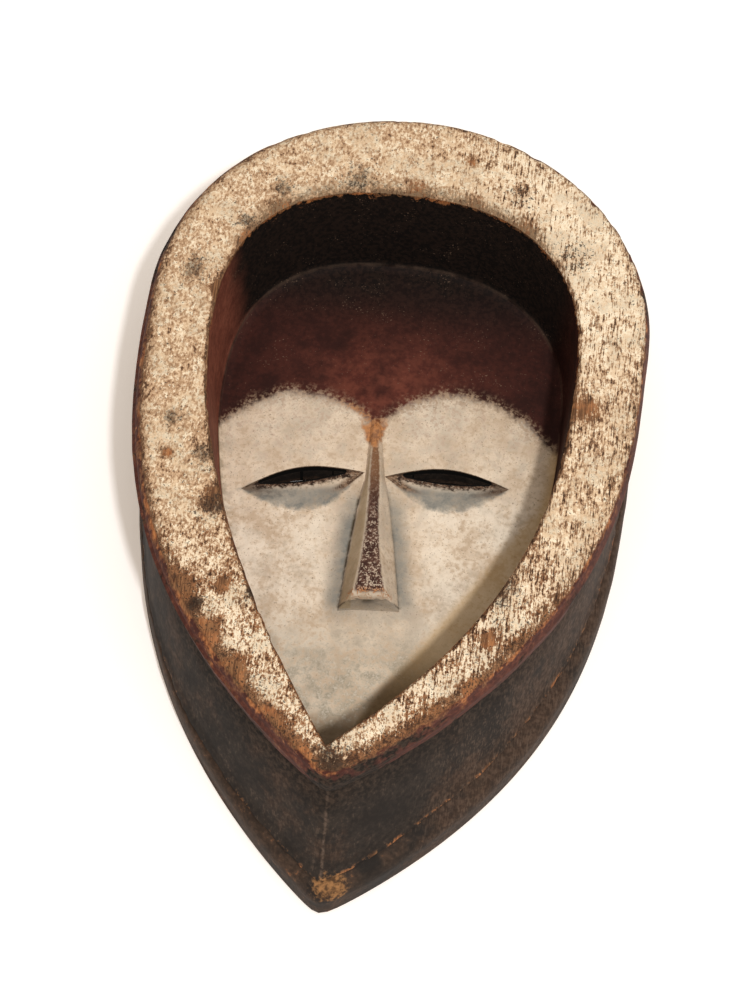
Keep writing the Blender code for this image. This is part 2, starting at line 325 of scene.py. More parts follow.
# %% [markdown]
# ## The rows of the outside
# The line starts in the middle of the hollow's roof, comes down to the flat ring that the mask
# lies on, turns over the flange's round edge and climbs the body to the rim. The lip, a thin worn
# step where the body was cut back to the flange, takes two rows of its own.

# %% Lead the rows up the outside
row(middle, HOLLOW_DEPTH)
row(rubbed(grown(BACK, -HOLLOW_EDGE - HOLLOW_SLOPE)), HOLLOW_DEPTH, 13)
row(rubbed(grown(BACK, -HOLLOW_EDGE)), 0.0, 10)
row(rubbed(grown(BACK, -ARRIS)), 0.0, 7)
row(back_ring, ARRIS, 2, "back_edge")
row(back_ring, FLANGE_HEIGHT - FLANGE_ROUND, 7)
round_over(back_ring, body_foot_ring + (back_ring - body_foot_ring) * FLANGE_ROUND_END,
           FLANGE_HEIGHT - CREST_HEIGHT / 2, FLANGE_ROUND, 8)
row(body_foot_ring - (body_foot_ring - middle) * GROOVE_IN, FLANGE_HEIGHT, 2)
lip_ring = body_foot_ring + (body_foot_ring - middle) * LIP_OUT
row(lip_ring, FLANGE_HEIGHT + CREST_HEIGHT, 2, "crest")
neck_level = RIM_BACK - UNDERCUT_HEIGHT
row(body_foot_ring + (neck_ring - body_foot_ring) * LIP_BLEND,
    FLANGE_HEIGHT + (neck_level - FLANGE_HEIGHT) * LIP_BLEND, 3)
row(neck_ring, neck_level, 22)
row(neck_ring, RIM_BACK, 3)
row(rim_ring, RIM_BACK, 3)
print("rows up to the rim's back:", len(rows))

# %% [markdown]
# ## The rows of the rim and the recess
# The rim's outer edge is crisp on the right and rounder on the left. From its flat front the
# line goes down the recess's wall, through a small fillet, and over the face to its middle.

# %% Lead the rows over the rim
leftward = soft(-rim_ring[:, 0], -0.02, 0.07)
rim_round = RIM_ROUND_RIGHT + (RIM_ROUND_LEFT - RIM_ROUND_RIGHT) * leftward
bulge_ring = rubbed(grown(RIM, RIM_SIDE_BULGE))
row(bulge_ring, RIM_BACK + RIM_THICKNESS / 2, 6)
row(rim_ring, MASK_HEIGHT - rim_round, 4)
inward = (rubbed(grown(RIM, -RIM_ROUND_RIGHT)) - rim_ring) / RIM_ROUND_RIGHT
round_over(rim_ring, rim_ring + inward * rim_round[:, None], MASK_HEIGHT, rim_round, RIM_ROUND_STEPS)
row_named["front_outer"] = len(rows) - 1 - RIM_ROUND_STEPS // 2
row(ring(grown(RECESS, RIM_INNER_ROUND)), MASK_HEIGHT, 24)
row(recess_ring, MASK_HEIGHT - RIM_INNER_ROUND, 2, "front_inner")
row(foot_ring, FACE_LEVEL + RECESS_FILLET, 30)
row(foot_ring + (FACE_EDGE - foot_ring) * 0.3, FACE_LEVEL + RECESS_FILLET * 0.3, 2, "fillet")
row(FACE_EDGE, FACE_LEVEL, 2)
for step in range(1, FACE_ROWS + 1):
    plan = FACE_EDGE + (middle - FACE_EDGE) * step / FACE_ROWS
    row(plan, face_level(*plan.T) - lid_depth(*plan.T))

places = np.array(rows)
own_low, own_high = places.min(axis=(0, 1)), places.max(axis=(0, 1))
SHIFT = np.array([(MASK_LOW.x + MASK_HIGH.x - own_low[0] - own_high[0]) / 2,
                  (MASK_LOW.y + MASK_HIGH.y - own_low[1] - own_high[1]) / 2, 0.0])
places += SHIFT
print("rows:", len(rows), "points:", places.shape[0] * COLUMNS, "shift in mm:", np.round(SHIFT * 1000, 2))

# %% [markdown]
# ## Rolling the grid
# The grid is the primitive, and its rows and columns are read from where its points lie. Its two
# long edges meet in a seam and its first and last rows each shrink to a point, so doubles are
# merged and the faces turned outwards.

# %% Roll sheets into closed bodies


def rolled(name, target):
    """A closed body from a grid: row by row it takes the target's places, and its columns close round."""
    row_count, column_count = target.shape[:2]
    bpy.ops.mesh.primitive_grid_add(x_subdivisions=column_count, y_subdivisions=row_count - 1, size=2)
    body = bpy.context.object
    body.name = name
    body.data.name = name
    flat = np.empty(len(body.data.vertices) * 3, np.float32)
    body.data.vertices.foreach_get("co", flat)
    flat = flat.reshape(-1, 3)
    column = np.rint((flat[:, 0] + 1) / 2 * column_count).astype(int) % column_count
    line = np.rint((flat[:, 1] + 1) / 2 * (row_count - 1)).astype(int)
    body.data.vertices.foreach_set("co", target[line, column].astype(np.float32).ravel())
    bpy.ops.object.mode_set(mode="EDIT")
    bpy.ops.mesh.select_all(action="SELECT")
    bpy.ops.mesh.remove_doubles(threshold=1e-6)
    bpy.ops.mesh.fill_holes(sides=0)
    bpy.ops.mesh.select_all(action="SELECT")
    bpy.ops.mesh.normals_make_consistent(inside=False)
    bpy.ops.object.mode_set(mode="OBJECT")
    return body


carving = rolled("carved_mask", places)
print("faces:", len(carving.data.polygons))

# %% [markdown]
# ## The nose
# The nose is a wedge with a flat ridge that widens towards its blunt end. It was left standing
# when the face was cut back. Joining a separate wedge with a Boolean union gives the same crisp
# line at its foot. The wedge is rolled from its sections, like the carving itself.

# %% Shape the nose
NOSE_RIDGE_WIDTH = 0.0160
NOSE_HEIGHT = 0.0140
NOSE_END_SLOPE = 0.0025
NOSE_END_ROUND = 0.0040
NOSE_DRIFT = -0.0019
NOSE_ROOT = 0.0020
BRIDGE_BASE_WIDTH = 0.0100
BRIDGE_RIDGE_WIDTH = 0.0055
BRIDGE_HEIGHT = 0.0050
BROW_WIDTH = 0.0045
BROW_HEIGHT = 0.0008
NOSE_BLUNT = 0.0007         # the ridge's edges are at most this blunt
NOSE_STEPS = 40
BROW_STEPS = 8
END_STEPS = 6


def ridge_width(along):
    """Width of the nose's flat ridge, which runs on up between the brows as a thin keel."""
    down = np.clip(-along / NOSE_LENGTH, 0, 1)
    up = np.clip(along / BROW_LENGTH, 0, 1)
    nose = BRIDGE_RIDGE_WIDTH + (NOSE_RIDGE_WIDTH - BRIDGE_RIDGE_WIDTH) * down ** 2.5
    return nose + (BROW_WIDTH / 2 - nose) * up


def nose_base(down):
    return BRIDGE_BASE_WIDTH + (NOSE_BASE_WIDTH - BRIDGE_BASE_WIDTH) * down ** 0.75


def nose_section(along):
    """One section of the nose, as (across, along, height over the face), with its edges a little blunt."""
    down = max(0.0, -along / NOSE_LENGTH)
    up = max(0.0, along / BROW_LENGTH)
    ridge = float(ridge_width(along))
    base = nose_base(down)
    base += (BROW_WIDTH - base) * up
    height = BRIDGE_HEIGHT + (NOSE_HEIGHT - BRIDGE_HEIGHT) * down
    height += (BROW_HEIGHT - height) * up
    past = max(0.0, NOSE_END_ROUND - NOSE_LENGTH - along)
    height -= NOSE_END_ROUND - math.sqrt(max(0.0, NOSE_END_ROUND ** 2 - past ** 2))
    root = ridge / 2 + (base - ridge) / 2 * (1 + NOSE_ROOT / height)
    foot = along - NOSE_END_SLOPE * down
    blunt = min(NOSE_BLUNT, ridge / 6, height / 6)
    half = [(ridge / 2 - blunt, along, height), (ridge / 2 + blunt * 0.3, along, height - blunt * 0.8)]
    for share in (0.2, 0.4, 0.6, 0.8, 1.0):
        half.append((ridge / 2 + (root - ridge / 2) * share, along + (foot - along) * share,
                     height - (height + NOSE_ROOT) * share))
    ridge_line = [(ridge * share, along, height - blunt * 0.15) for share in (-0.22, 0.0, 0.22)]
    line = [(-across, place, lift) for across, place, lift in half[::-1]] + ridge_line + half
    return [(across + NOSE_DRIFT * down, place, lift) for across, place, lift in line]


def over_face(across, along, lift, surface=None):
    """A point of the part's frame, a lift above the face at that place."""
    x, y = face_to_plan(across, along)
    level = face_level(x, y) if surface is None else surface
    return float(x) + SHIFT[0], float(y) + SHIFT[1], float(level) + lift


def wedge_nose():
    sections = []
    brow = [BROW_LENGTH * step / BROW_STEPS for step in range(BROW_STEPS, 0, -1)]
    straight = [-(NOSE_LENGTH - NOSE_END_ROUND) * step / NOSE_STEPS for step in range(NOSE_STEPS)]
    rounded = [NOSE_END_ROUND * (1 - math.sin(math.pi / 2 * step / END_STEPS)) - NOSE_LENGTH
               for step in range(END_STEPS + 1)]
    for along in brow + straight + rounded:
        surface = float(face_level(*face_to_plan(0.0, along)))
        sections.append([over_face(*corner, surface) for corner in nose_section(along)])
    end = np.array(sections[-1])
    for share in (0.75, 0.5, 0.25, 0.0):
        sections.append(end.mean(axis=0) + (end - end.mean(axis=0)) * share)
    return rolled("nose", np.array(sections))


print("width of the ridge at the nose's end:", round(float(ridge_width(-NOSE_LENGTH)), 4))

# %% [markdown]
# ## The eye cutters
# The eyes are cut the way a chisel cuts them: one cutter takes the upright upper lid, and a thin
# one goes right through for the slit. Both are lenses with pointed corners, and a function gives
# each its own section.

# %% Shape the cutters
CUT_MARGIN = 0.0100         # how far a cutter stands out past the wood
LENS_STEPS = 56
LENS_END = 0.2              # a lens stops this share of a step before its sharp corner


def lens(side, corners_at, length):
    """A cutter shaped like a pointed lens, from a function that gives its section at each place."""
    sections = []
    for step in range(LENS_STEPS + 1):
        share = (step + LENS_END) / (LENS_STEPS + 2 * LENS_END)
        across = length * (share - 0.5)
        section = []
        for along, lift in corners_at(across, math.sin(math.pi * share)):
            x, y = eye_to_plan(side, across, along)
            section.append((float(x) + SHIFT[0], float(y) + SHIFT[1], float(face_level(x, y)) + lift))
        sections.append(section)
    return rolled("cutter", np.array(sections))


def upper_lid(across, swelling):
    upper = EYE_UPPER * swelling
    sink = EYE_SINK * swelling ** 0.5
    step_in = SLIT_WIDTH * swelling
    past = CUT_MARGIN / EYE_SINK
    low = upper - step_in
    return [(upper, CUT_MARGIN), (upper, -sink * 0.5), (upper - 0.0002, -sink), (low, -sink),
            (low - (EYE_LOWER * swelling + low) * (1 + past), sink * past)]


def slit(across, swelling):
    upper = EYE_UPPER * math.cos(math.pi * across / EYE_LENGTH) - SLIT_GAP
    lower = upper - SLIT_WIDTH * swelling
    under = -FACE_WALL - CUT_MARGIN
    return [(upper, CUT_MARGIN), (lower, CUT_MARGIN), (lower, under), (upper, under)]


print("middle of a slit's section:", np.round(slit(0.0, 1.0), 4).tolist())

# %% [markdown]
# ## Joining and cutting
# Boolean modifiers join the nose and take the cutters away. The Manifold solver suits them,
# because every body here is closed.

# %% Join the nose and cut the eyes


def combine(target, tool, operation):
    """Cuts or joins a tool body, and takes it away."""
    bpy.ops.object.select_all(action="DESELECT")
    bpy.context.view_layer.objects.active = target
    target.select_set(True)
    step = target.modifiers.new(operation, "BOOLEAN")
    step.operation = operation
    step.solver = "MANIFOLD"
    step.object = tool
    bpy.ops.object.modifier_apply(modifier=step.name)
    bpy.data.objects.remove(tool)


combine(carving, wedge_nose(), "UNION")
for side in DROOP:
    combine(carving, lens(side, upper_lid, EYE_LENGTH), "DIFFERENCE")
    combine(carving, lens(side, slit, SLIT_LENGTH), "DIFFERENCE")
print("faces with nose and eyes:", len(carving.data.polygons))

# %% [markdown]
# ## Measures for the paint
# Paint wears off edges first, so the finish needs to know how far each point is from them. The
# sheet gives that: along each column, the way walked from the back's middle is summed up, and
# the way left to a named row is the distance to that edge. After the Booleans each point takes
# the measures of the nearest point of the sheet. They are stored on the mesh as attributes.

# %% Measure the sheet
walked = np.concatenate((np.zeros((1, COLUMNS)),
                         np.cumsum(np.linalg.norm(np.diff(places, axis=0), axis=2), axis=0)))
sheet = {
    "front_outer": walked - walked[row_named["front_outer"]],
    "front_inner": walked[row_named["front_inner"]] - walked,
    "crest": walked - walked[row_named["crest"]],
    "fillet": walked - walked[row_named["fillet"]],
    "back_edge": walked - walked[row_named["back_edge"]],
}
tree = kdtree.KDTree(places.shape[0] * COLUMNS)
for index, place in enumerate(places.reshape(-1, 3)):
    tree.insert(place, index)
tree.balance()


def points_of(mesh, field="co"):
    flat = np.empty(len(mesh.vertices) * 3, np.float32)
    mesh.vertices.foreach_get(field, flat)
    return flat.reshape(-1, 3).astype(float)


points = points_of(carving.data)
nearest = np.array([tree.find(point)[1] for point in points])
measures = {name: values.ravel()[nearest] for name, values in sheet.items()}
print("measured points:", len(points))

# %% [markdown]
# ## The painted borders
# The white paint of the face ends in two round lobes with a notch between them. Its border is a
# measure as well: how far a point lies below the lobes, with the notch's own sharp dip. The nose's
# ridge and the slits are measured the same way, across their edges.

# %% Measure the face
HEART_NOTCH = 0.0295        # along the face, from the bridge of the nose
HEART_PEAK = 0.0490
HEART_END = 0.0282
HEART_PEAK_ACROSS = 0.0400
HEART_END_ACROSS = 0.0810

across, along = plan_to_face(points[:, 0] - SHIFT[0], points[:, 1] - SHIFT[1])
side_way = np.abs(across)
lobe = HEART_NOTCH + (HEART_PEAK - HEART_NOTCH) * np.sin(
    np.pi / 2 * np.clip(side_way / HEART_PEAK_ACROSS, 0, 1)) ** 0.8
falling = (side_way - HEART_PEAK_ACROSS) / (HEART_END_ACROSS - HEART_PEAK_ACROSS)
lobe -= (HEART_PEAK - HEART_END) * np.clip(falling, 0, 1.3) ** 2
measures["heart"] = lobe - along

down = np.clip(-along / NOSE_LENGTH, 0, 1)
lift = points[:, 2] - face_level(points[:, 0] - SHIFT[0], points[:, 1] - SHIFT[1])
measures["ridge"] = ridge_width(along) / 2 - np.abs(across - NOSE_DRIFT * down)
past_side = np.abs(across - NOSE_DRIFT * down) - nose_base(down) / 2
past_end = -along - NOSE_LENGTH
measures["nose"] = np.where(past_end < 0, past_side, np.hypot(np.maximum(past_side, 0), past_end))
measures["across"] = across
measures["along"] = along
measures["lift"] = lift

slit_away = np.full(len(points), 0.1)
socket = np.full(len(points), -0.1)
for side in DROOP:
    eye_across, eye_along = eye_axes(side, across, along)
    beyond = np.maximum(np.abs(eye_across) - SLIT_LENGTH / 2, 0)
    slit_upper = EYE_UPPER * swell(eye_across, EYE_LENGTH) - SLIT_GAP
    slit_lower = slit_upper - SLIT_WIDTH * swell(eye_across, SLIT_LENGTH)
    past_line = np.maximum(np.maximum(eye_along - slit_upper, slit_lower - eye_along), 0)
    slit_away = np.minimum(slit_away, np.hypot(beyond, past_line))
    opening = swell(eye_across, EYE_LENGTH)
    inside = np.minimum(EYE_UPPER * opening - eye_along, eye_along + EYE_LOWER * opening)
    past_corner = np.abs(eye_across) - EYE_LENGTH / 2
    inside = np.where(past_corner < 0, inside, -np.hypot(past_corner, eye_along))
    socket = np.maximum(socket, inside)
measures["slit"] = slit_away
measures["socket"] = socket
print("measures:", ", ".join(measures))

# %% [markdown]
# ## Marks of use
# Some marks are chance and noise can make them. Others sit where the mask was knocked or handled:
# bare wood on the lower left of the rim and along the recess's edge, and dark smudges of soot.
# These are soft discs at listed places of the rim, as (x, y, radius) in millimetres.

# %% Place the marks of use
BARE_SPOTS = [(-64, 128, 6), (-77, 110, 5), (-88, 80, 5), (1, 147, 6), (31, 143, 4), (57, 132, 6),
              (26, 166, 3), (-98, -11, 3), (-63, -75, 4), (-74, -30, 5), (-80, -78, 6), (-66, -98, 6),
              (-52, -116, 6), (-34, -138, 7), (-18, -154, 7), (94, 36, 8), (61, -87, 5), (35, -137, 5),
              (57, -112, 5)]
SOOT_SPOTS = [(-27, 149, 10), (-79, 119, 5), (-63, 139, 6), (-100, 89, 8), (82, 119, 9), (51, 148, 8),
              (-99, 7, 6), (-81, -9, 8), (-73, -35, 8), (-50, -77, 5), (-74, -85, 5), (-3, -153, 9),
              (63, -62, 10), (72, -14, 8)]


def spotted(spots):
    amount = np.zeros(len(points))
    for x, y, radius in spots:
        away = np.hypot(points[:, 0] - x / 1000, points[:, 1] - y / 1000)
        amount = np.maximum(amount, bell(away, radius / 1000))
    return amount


measures["bare"] = spotted(BARE_SPOTS)
measures["soot"] = spotted(SOOT_SPOTS)
print("bare and sooty spots:", len(BARE_SPOTS), len(SOOT_SPOTS))

# %% [markdown]
# ## Zones of the carving
# Each tool left its own surface, so the outside, the rim's front, the recess's wall, the face and
# the hollow back are told apart first. A zone is 1 inside and fades to 0 over a few millimetres,
# because a hard border would show as a step.

# %% Tell the zones apart
front_outer, front_inner = measures["front_outer"], measures["front_inner"]
on_front = soft(front_outer, -0.002, 0.004) * soft(front_inner, -0.001, 0.003)
on_face = soft(measures["fillet"], 0.001, 0.006)
on_wall = soft(-front_inner, 0.0, 0.004) * (1 - on_face)
outside = soft(-front_outer, 0.0, 0.004) * soft(measures["back_edge"], -0.001, 0.002)
hollow = soft(-measures["back_edge"], 0.021, 0.026)
free = soft(points[:, 2], 0.0003, 0.004)
ZONES = (outside, on_front, on_wall, on_face, hollow)


def by_zone(*depths):
    """A depth for each zone, as one value for each point."""
    return sum(depth * zone for depth, zone in zip(depths, ZONES))


print("share of points on the face:", round(float(on_face.mean()), 3))

# %% [markdown]
# ## Hand-cut surfaces
# An adze and a knife leave shallow scoops, and no surface is quite straight. Each point moves a
# little along its normal: long and short waves for the hand, and cells for the scoops. The flat
# ring of the back keeps its place, because the mask lies on it.

# %% Cut the surface by hand
LONG_WAVE = 26.0            # waves in a metre
SHORT_WAVE = 85.0
CHIP_WAVE = 210.0
CHIP_START = Vector((3.1, 0.0, 7.7))
SCOOP_BODY = 0.011          # width of a scoop
SCOOP_FACE = 0.016
SCOOP_STRETCH = 0.6         # scoops are longer than wide
# depths of the waves and scoops: outside, rim's front, recess's wall, face, hollow back
LONG_DEPTHS = (0.0007, 0.0004, 0.0005, 0.0003, 0.0)
SHORT_DEPTHS = (0.00022, 0.00018, 0.0002, 0.00008, 0.0)
BODY_SCOOP_DEPTHS = (0.00035, 0.0, 0.0003, 0.0, 0.00055)
FACE_SCOOP_DEPTHS = (0.0, 0.00015, 0.0, 0.00012, 0.0)


def field(points, function):
    return np.array([function(Vector(point)) for point in points])


def scoops(points, width):
    """0 on the ridges between scoops and down to -1 in their middles."""
    def depth(point):
        squeezed = Vector((point.x, point.y * SCOOP_STRETCH, point.z)) / width
        return noise.voronoi(squeezed)[0][0]
    return np.minimum(field(points, depth), 1.0) - 1.0


long_wave = field(points, lambda point: noise.noise(point * LONG_WAVE))
short_wave = field(points, lambda point: noise.noise(point * SHORT_WAVE))
chip_wave = field(points, lambda point: noise.noise(point * CHIP_WAVE + CHIP_START))
move = long_wave * by_zone(*LONG_DEPTHS) + short_wave * by_zone(*SHORT_DEPTHS)
move += scoops(points, SCOOP_BODY) * by_zone(*BODY_SCOOP_DEPTHS)
move += scoops(points, SCOOP_FACE) * by_zone(*FACE_SCOOP_DEPTHS)
print("deepest cut in mm:", round(float(-move.min()) * 1000, 2))

# %% [markdown]
# ## Worn edges
# Years of handling blunt and chip the corners. Short noise eats into each edge, and only where
# the noise is high, so that whole stretches stay crisp. The rim is worn most at the upper right,
# and the recess's edge most beside the chin.

# %% Wear the edges
EDGE_WIDTH = 0.0030
CREST_WIDTH = 0.0020
OUTER_WEAR = 0.0012
OUTER_WEAR_UPPER_RIGHT = 0.0016
INNER_WEAR = 0.0014
INNER_WEAR_LOW = 0.0008
CREST_WEAR = 0.0010

outer_wear = bell(front_outer, EDGE_WIDTH) * np.clip(chip_wave + 0.7 * long_wave - 0.08, 0, 1)
inner_wear = bell(front_inner, EDGE_WIDTH) * np.clip(chip_wave + 0.5 * long_wave - 0.05, 0, 1)
crest_wear = bell(measures["crest"], CREST_WIDTH) * np.clip(chip_wave + 0.2, 0, 1)
upper_right = soft(points[:, 0], 0.0, 0.05) * soft(points[:, 1], 0.06, 0.10)
low_down = soft(-points[:, 1], 0.0, 0.08)
move -= outer_wear * (OUTER_WEAR + OUTER_WEAR_UPPER_RIGHT * upper_right)
move -= inner_wear * (INNER_WEAR + INNER_WEAR_LOW * low_down)
move -= crest_wear * CREST_WEAR

normals = points_of(carving.data, "normal")
worn = points + normals * (move * free)[:, None]
worn[:, 2] = np.clip(worn[:, 2], 0.0, MASK_LOW.z + MASK_HEIGHT)
carving.data.vertices.foreach_set("co", worn.astype(np.float32).ravel())
print("largest move in mm:", round(float(np.abs(move).max()) * 1000, 2))

# %% [markdown]
# ## The dressed piece
# The measures are stored on the mesh for the paint. Crisp edges stay sharp and the rest is shaded
# smooth. The carving then stands for the imported solid: it rides on the same body, and the solid
# is hidden in its place.

# %% Store the measures
SMOOTH_ANGLE = math.radians(32)

for name, values in measures.items():
    carving.data.attributes.new(name, "FLOAT", "POINT").data.foreach_set("value", values.astype(np.float32))
bpy.ops.object.select_all(action="DESELECT")
bpy.context.view_layer.objects.active = carving
carving.select_set(True)
bpy.ops.object.shade_smooth_by_angle(angle=SMOOTH_ANGLE)
print("triangles:", sum(len(face.vertices) - 2 for face in carving.data.polygons))

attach(carving, "root")
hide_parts("mask")

# %% [markdown]
# ## Shader maths as Python
# Every layer of the finish is a few noises added, multiplied and cut off at a level. In the node
# editor that is a web of Math nodes. Here one small class wraps a socket and gives it Python's
# operators, so a mask reads like a formula and each operator adds its node. Sizes of noises are
# given in millimetres, because that is how one sees them on the wood.

# %% Wrap sockets
MM = 0.001


class Field:
    """A number or a colour that varies over the surface."""

    def __init__(self, paint, socket):
        self.paint = paint
        self.socket = socket

    def maths(self, operation, *others):
        return self.paint.node("ShaderNodeMath", {"operation": operation}, dict(enumerate((self,) + others)))

    def __add__(self, other):
        return self.maths("ADD", other)

    def __sub__(self, other):
        return self.maths("SUBTRACT", other)

    def __rsub__(self, other):
        return self.maths("MULTIPLY", -1.0).maths("ADD", other)

    def __mul__(self, other):
        return self.maths("MULTIPLY", other)

    def __neg__(self):
        return self.maths("MULTIPLY", -1.0)

    def __abs__(self):
        return self.maths("ABSOLUTE")

    __radd__ = __add__
    __rmul__ = __mul__

    def most(self, other):
        return self.maths("MAXIMUM", other)

    def rise(self, low, high):
        """0 below low, 1 above high, and smooth between. With low above high it falls."""
        return self.paint.node("ShaderNodeMapRange", {"interpolation_type": "SMOOTHSTEP"},
                               {"Value": self, "From Min": low, "From Max": high})

    def near(self, width):
        """1 where the value is 0, falling to 0 at that width on each side."""
        return abs(self).rise(width, 0.0)


print("one millimetre in Blender's units:", MM)

# %% [markdown]
# ## Noises and measures
# Wood grain runs along the mask, so some noises are drawn out that way. Each is listed once, with
# the width of its marks along x, y and z, its detail and its roughness. A material takes only the
# ones that it uses, because every one of them costs time in the render.

# %% List the noises
NOISES = {
    "broad": ((42, 42, 42), 2, 0.5),
    "cloud": ((15, 15, 15), 3, 0.55),
    "lumps": ((6.5, 6.5, 6.5), 4, 0.62),
    "crumbs": ((2.3, 2.3, 2.3), 3, 0.6),
    "dust": ((0.9, 0.9, 0.9), 2, 0.5),
    "grain": ((0.8, 13, 3), 3, 0.6),
    "bristles": ((1.6, 8, 8), 3, 0.65),
    "fleck": ((1.3, 2.0, 1.3), 4, 0.7),
    "scratch": ((0.7, 7, 3), 3, 0.65),
}
GRAIN_TURN = 0.05           # the grain runs a little askew, in radians
RELIEF = 0.5 * MM
GLOSS = 0.15


class Paint:
    """One material and its node tree."""

    def __init__(self, name):
        self.material = bpy.data.materials.new(name)
        self.material.use_nodes = True
        self.tree = self.material.node_tree
        self.surface = self.tree.nodes["Principled BSDF"]
        self.place = self.node("ShaderNodeTexCoord", output="Object")
        axes = self.node("ShaderNodeSeparateXYZ", {}, {"Vector": self.place}).socket.node.outputs
        self.east, self.north, self.high = (Field(self, axes[axis]) for axis in "XYZ")
        self.kept = {}

    def node(self, kind, settings=None, sockets=None, output=0):
        made = self.tree.nodes.new(kind)
        for name, value in (settings or {}).items():
            setattr(made, name, value)
        for key, value in (sockets or {}).items():
            if isinstance(value, Field):
                self.tree.links.new(value.socket, made.inputs[key])
            else:
                made.inputs[key].default_value = value
        return Field(self, made.outputs[output])

    def measures(self, *names):
        """The mesh's own attributes, each as a field."""
        for name in names:
            if name not in self.kept:
                self.kept[name] = self.node("ShaderNodeAttribute", {"attribute_name": name}, output="Fac")
        return [self.kept[name] for name in names]

    def noises(self, *names):
        for name in names:
            if name not in self.kept:
                widths, detail, roughness = NOISES[name]
                start = (len(name) * 1.7, list(NOISES).index(name) * 2.3, 0.0)
                scale = tuple(1000 / width for width in widths)
                placed = self.node("ShaderNodeMapping", {"vector_type": "POINT"}, {
                    "Vector": self.place, "Location": start,
                    "Rotation": (0.0, 0.0, GRAIN_TURN), "Scale": scale})
                self.kept[name] = self.node("ShaderNodeTexNoise", {}, {
                    "Vector": placed, "Scale": 1.0, "Detail": detail, "Roughness": roughness})
        return [self.kept[name] for name in names]

    def mix(self, mask, first, second):
        return self.node("ShaderNodeMix", {"data_type": "RGBA"}, {0: mask, 6: first, 7: second}, 2)

    def finish(self, base, height, strength):
        """Feeds the shader with the last layer and with a relief height."""
        bump = self.node("ShaderNodeBump", {}, {"Height": height, "Strength": strength, "Distance": RELIEF})
        for name, value in (("Base Color", base.colour), ("Roughness", base.roughness), ("Normal", bump)):
            self.tree.links.new(value.socket, self.surface.inputs[name])
        self.surface.inputs["Specular IOR Level"].default_value = GLOSS


print("noises:", ", ".join(NOISES))

# %% [markdown]
# ## The layers
# The real finish was put on in layers and worn back through them: bare wood, black and red
# pigment, then white kaolin on the face and on the rim's front. Each layer here is a colour and a
# roughness, and a mask lays it over what is below. Where the mask breaks up, the layer below
# shows, as it does on the mask. The shares and levels in the masks were found by setting one
# render after another beside the real colours.

# %% Lay one finish over another
Finish = namedtuple("Finish", "colour roughness")


def tint(red, green, blue):
    """A colour given as a screen shows it, from 0 to 255."""
    shares = [value / 255 for value in (red, green, blue)]
    linear = [share / 12.92 if share < 0.04 else ((share + 0.055) / 1.055) ** 2.4 for share in shares]
    return tuple(linear) + (1.0,)


def mottled(mask, dark, light, roughness):
    """A finish that is dark where the mask is 0 and light where it is 1."""
    return Finish(mask.paint.mix(mask, tint(*dark), tint(*light)), roughness)


def stain_or_shade(colour, mask, *stain):
    """A colour with a stain or a painted shade over it, where the mask is 1."""
    return mask.paint.mix(mask, colour, tint(*stain))


def lay(under, mask, over):
    """One finish over another, where the mask is 1."""
    return Finish(mask.paint.mix(mask, under.colour, over.colour),
                  mask * (over.roughness - under.roughness) + under.roughness)


print("middle grey in linear light:", [round(share, 3) for share in tint(128, 128, 128)])

# %% [markdown]
# ## Bare wood and soot
# Two finishes show on every part of the mask: wood that was rubbed bare, dull brown in the pores
# and bright ochre where it was handled, and matt soot, whose colour also lays painted shade under
# the rim and in the lip's groove. They are functions, so that each paint can have its own nodes
# for them.

# %% Mix bare wood and soot


def bare_wood(paint):
    cloud, grain = paint.noises("cloud", "grain")
    dull = paint.mix(grain.rise(0.38, 0.62), tint(92, 62, 42), tint(146, 104, 70))
    bright = paint.mix(grain.rise(0.34, 0.6), tint(138, 82, 48), tint(188, 124, 76))
    return Finish(paint.mix(cloud.rise(0.45, 0.62), dull, bright), 0.75)


def soot(paint):
    crumbs, = paint.noises("crumbs")
    return mottled(crumbs.rise(0.4, 0.62), (26, 21, 17), (58, 47, 39), 0.85)


print("soot in linear light:", [round(share, 4) for share in tint(26, 21, 17)[:3]])

# %% [markdown]
# ## Red paint beside the rim
# The rim's side is dark red over wood and sooty in places. The recess is wine red, with painted
# light that makes it redder in the forehead's middle and rosy on its left wall, which faces the
# light and also has rosier paint. Dust and a painted highlight lie along the wall's foot, and it is
# nearly black up the far wall, from dark paint and painted shade.
# The rim's material meets both, so they are functions too, and no line shows between materials.

# %% Mix the red paints


def side_paint(paint):
    """The rim's side: dark red over wood, sooty in places."""
    broad, lumps, crumbs = paint.noises("broad", "lumps", "crumbs")
    front_outer, = paint.measures("front_outer")
    red = mottled((lumps * 0.5 + crumbs * 0.5).rise(0.4, 0.6), (68, 35, 28), (100, 55, 42), 0.7)
    edge = (-front_outer).rise(7 * MM, 0.0)
    bare = (lumps * 0.6 + crumbs * 0.4 + paint.east.rise(0.05, -0.10) * 0.04 + edge * 0.12).rise(0.56, 0.72)
    side = lay(red, bare, bare_wood(paint))
    black = broad * 0.5 + lumps * 0.5 - edge * 0.08 + (paint.east + 0.002).near(0.02) * 0.12
    return lay(side, black.rise(0.50, 0.60), soot(paint))


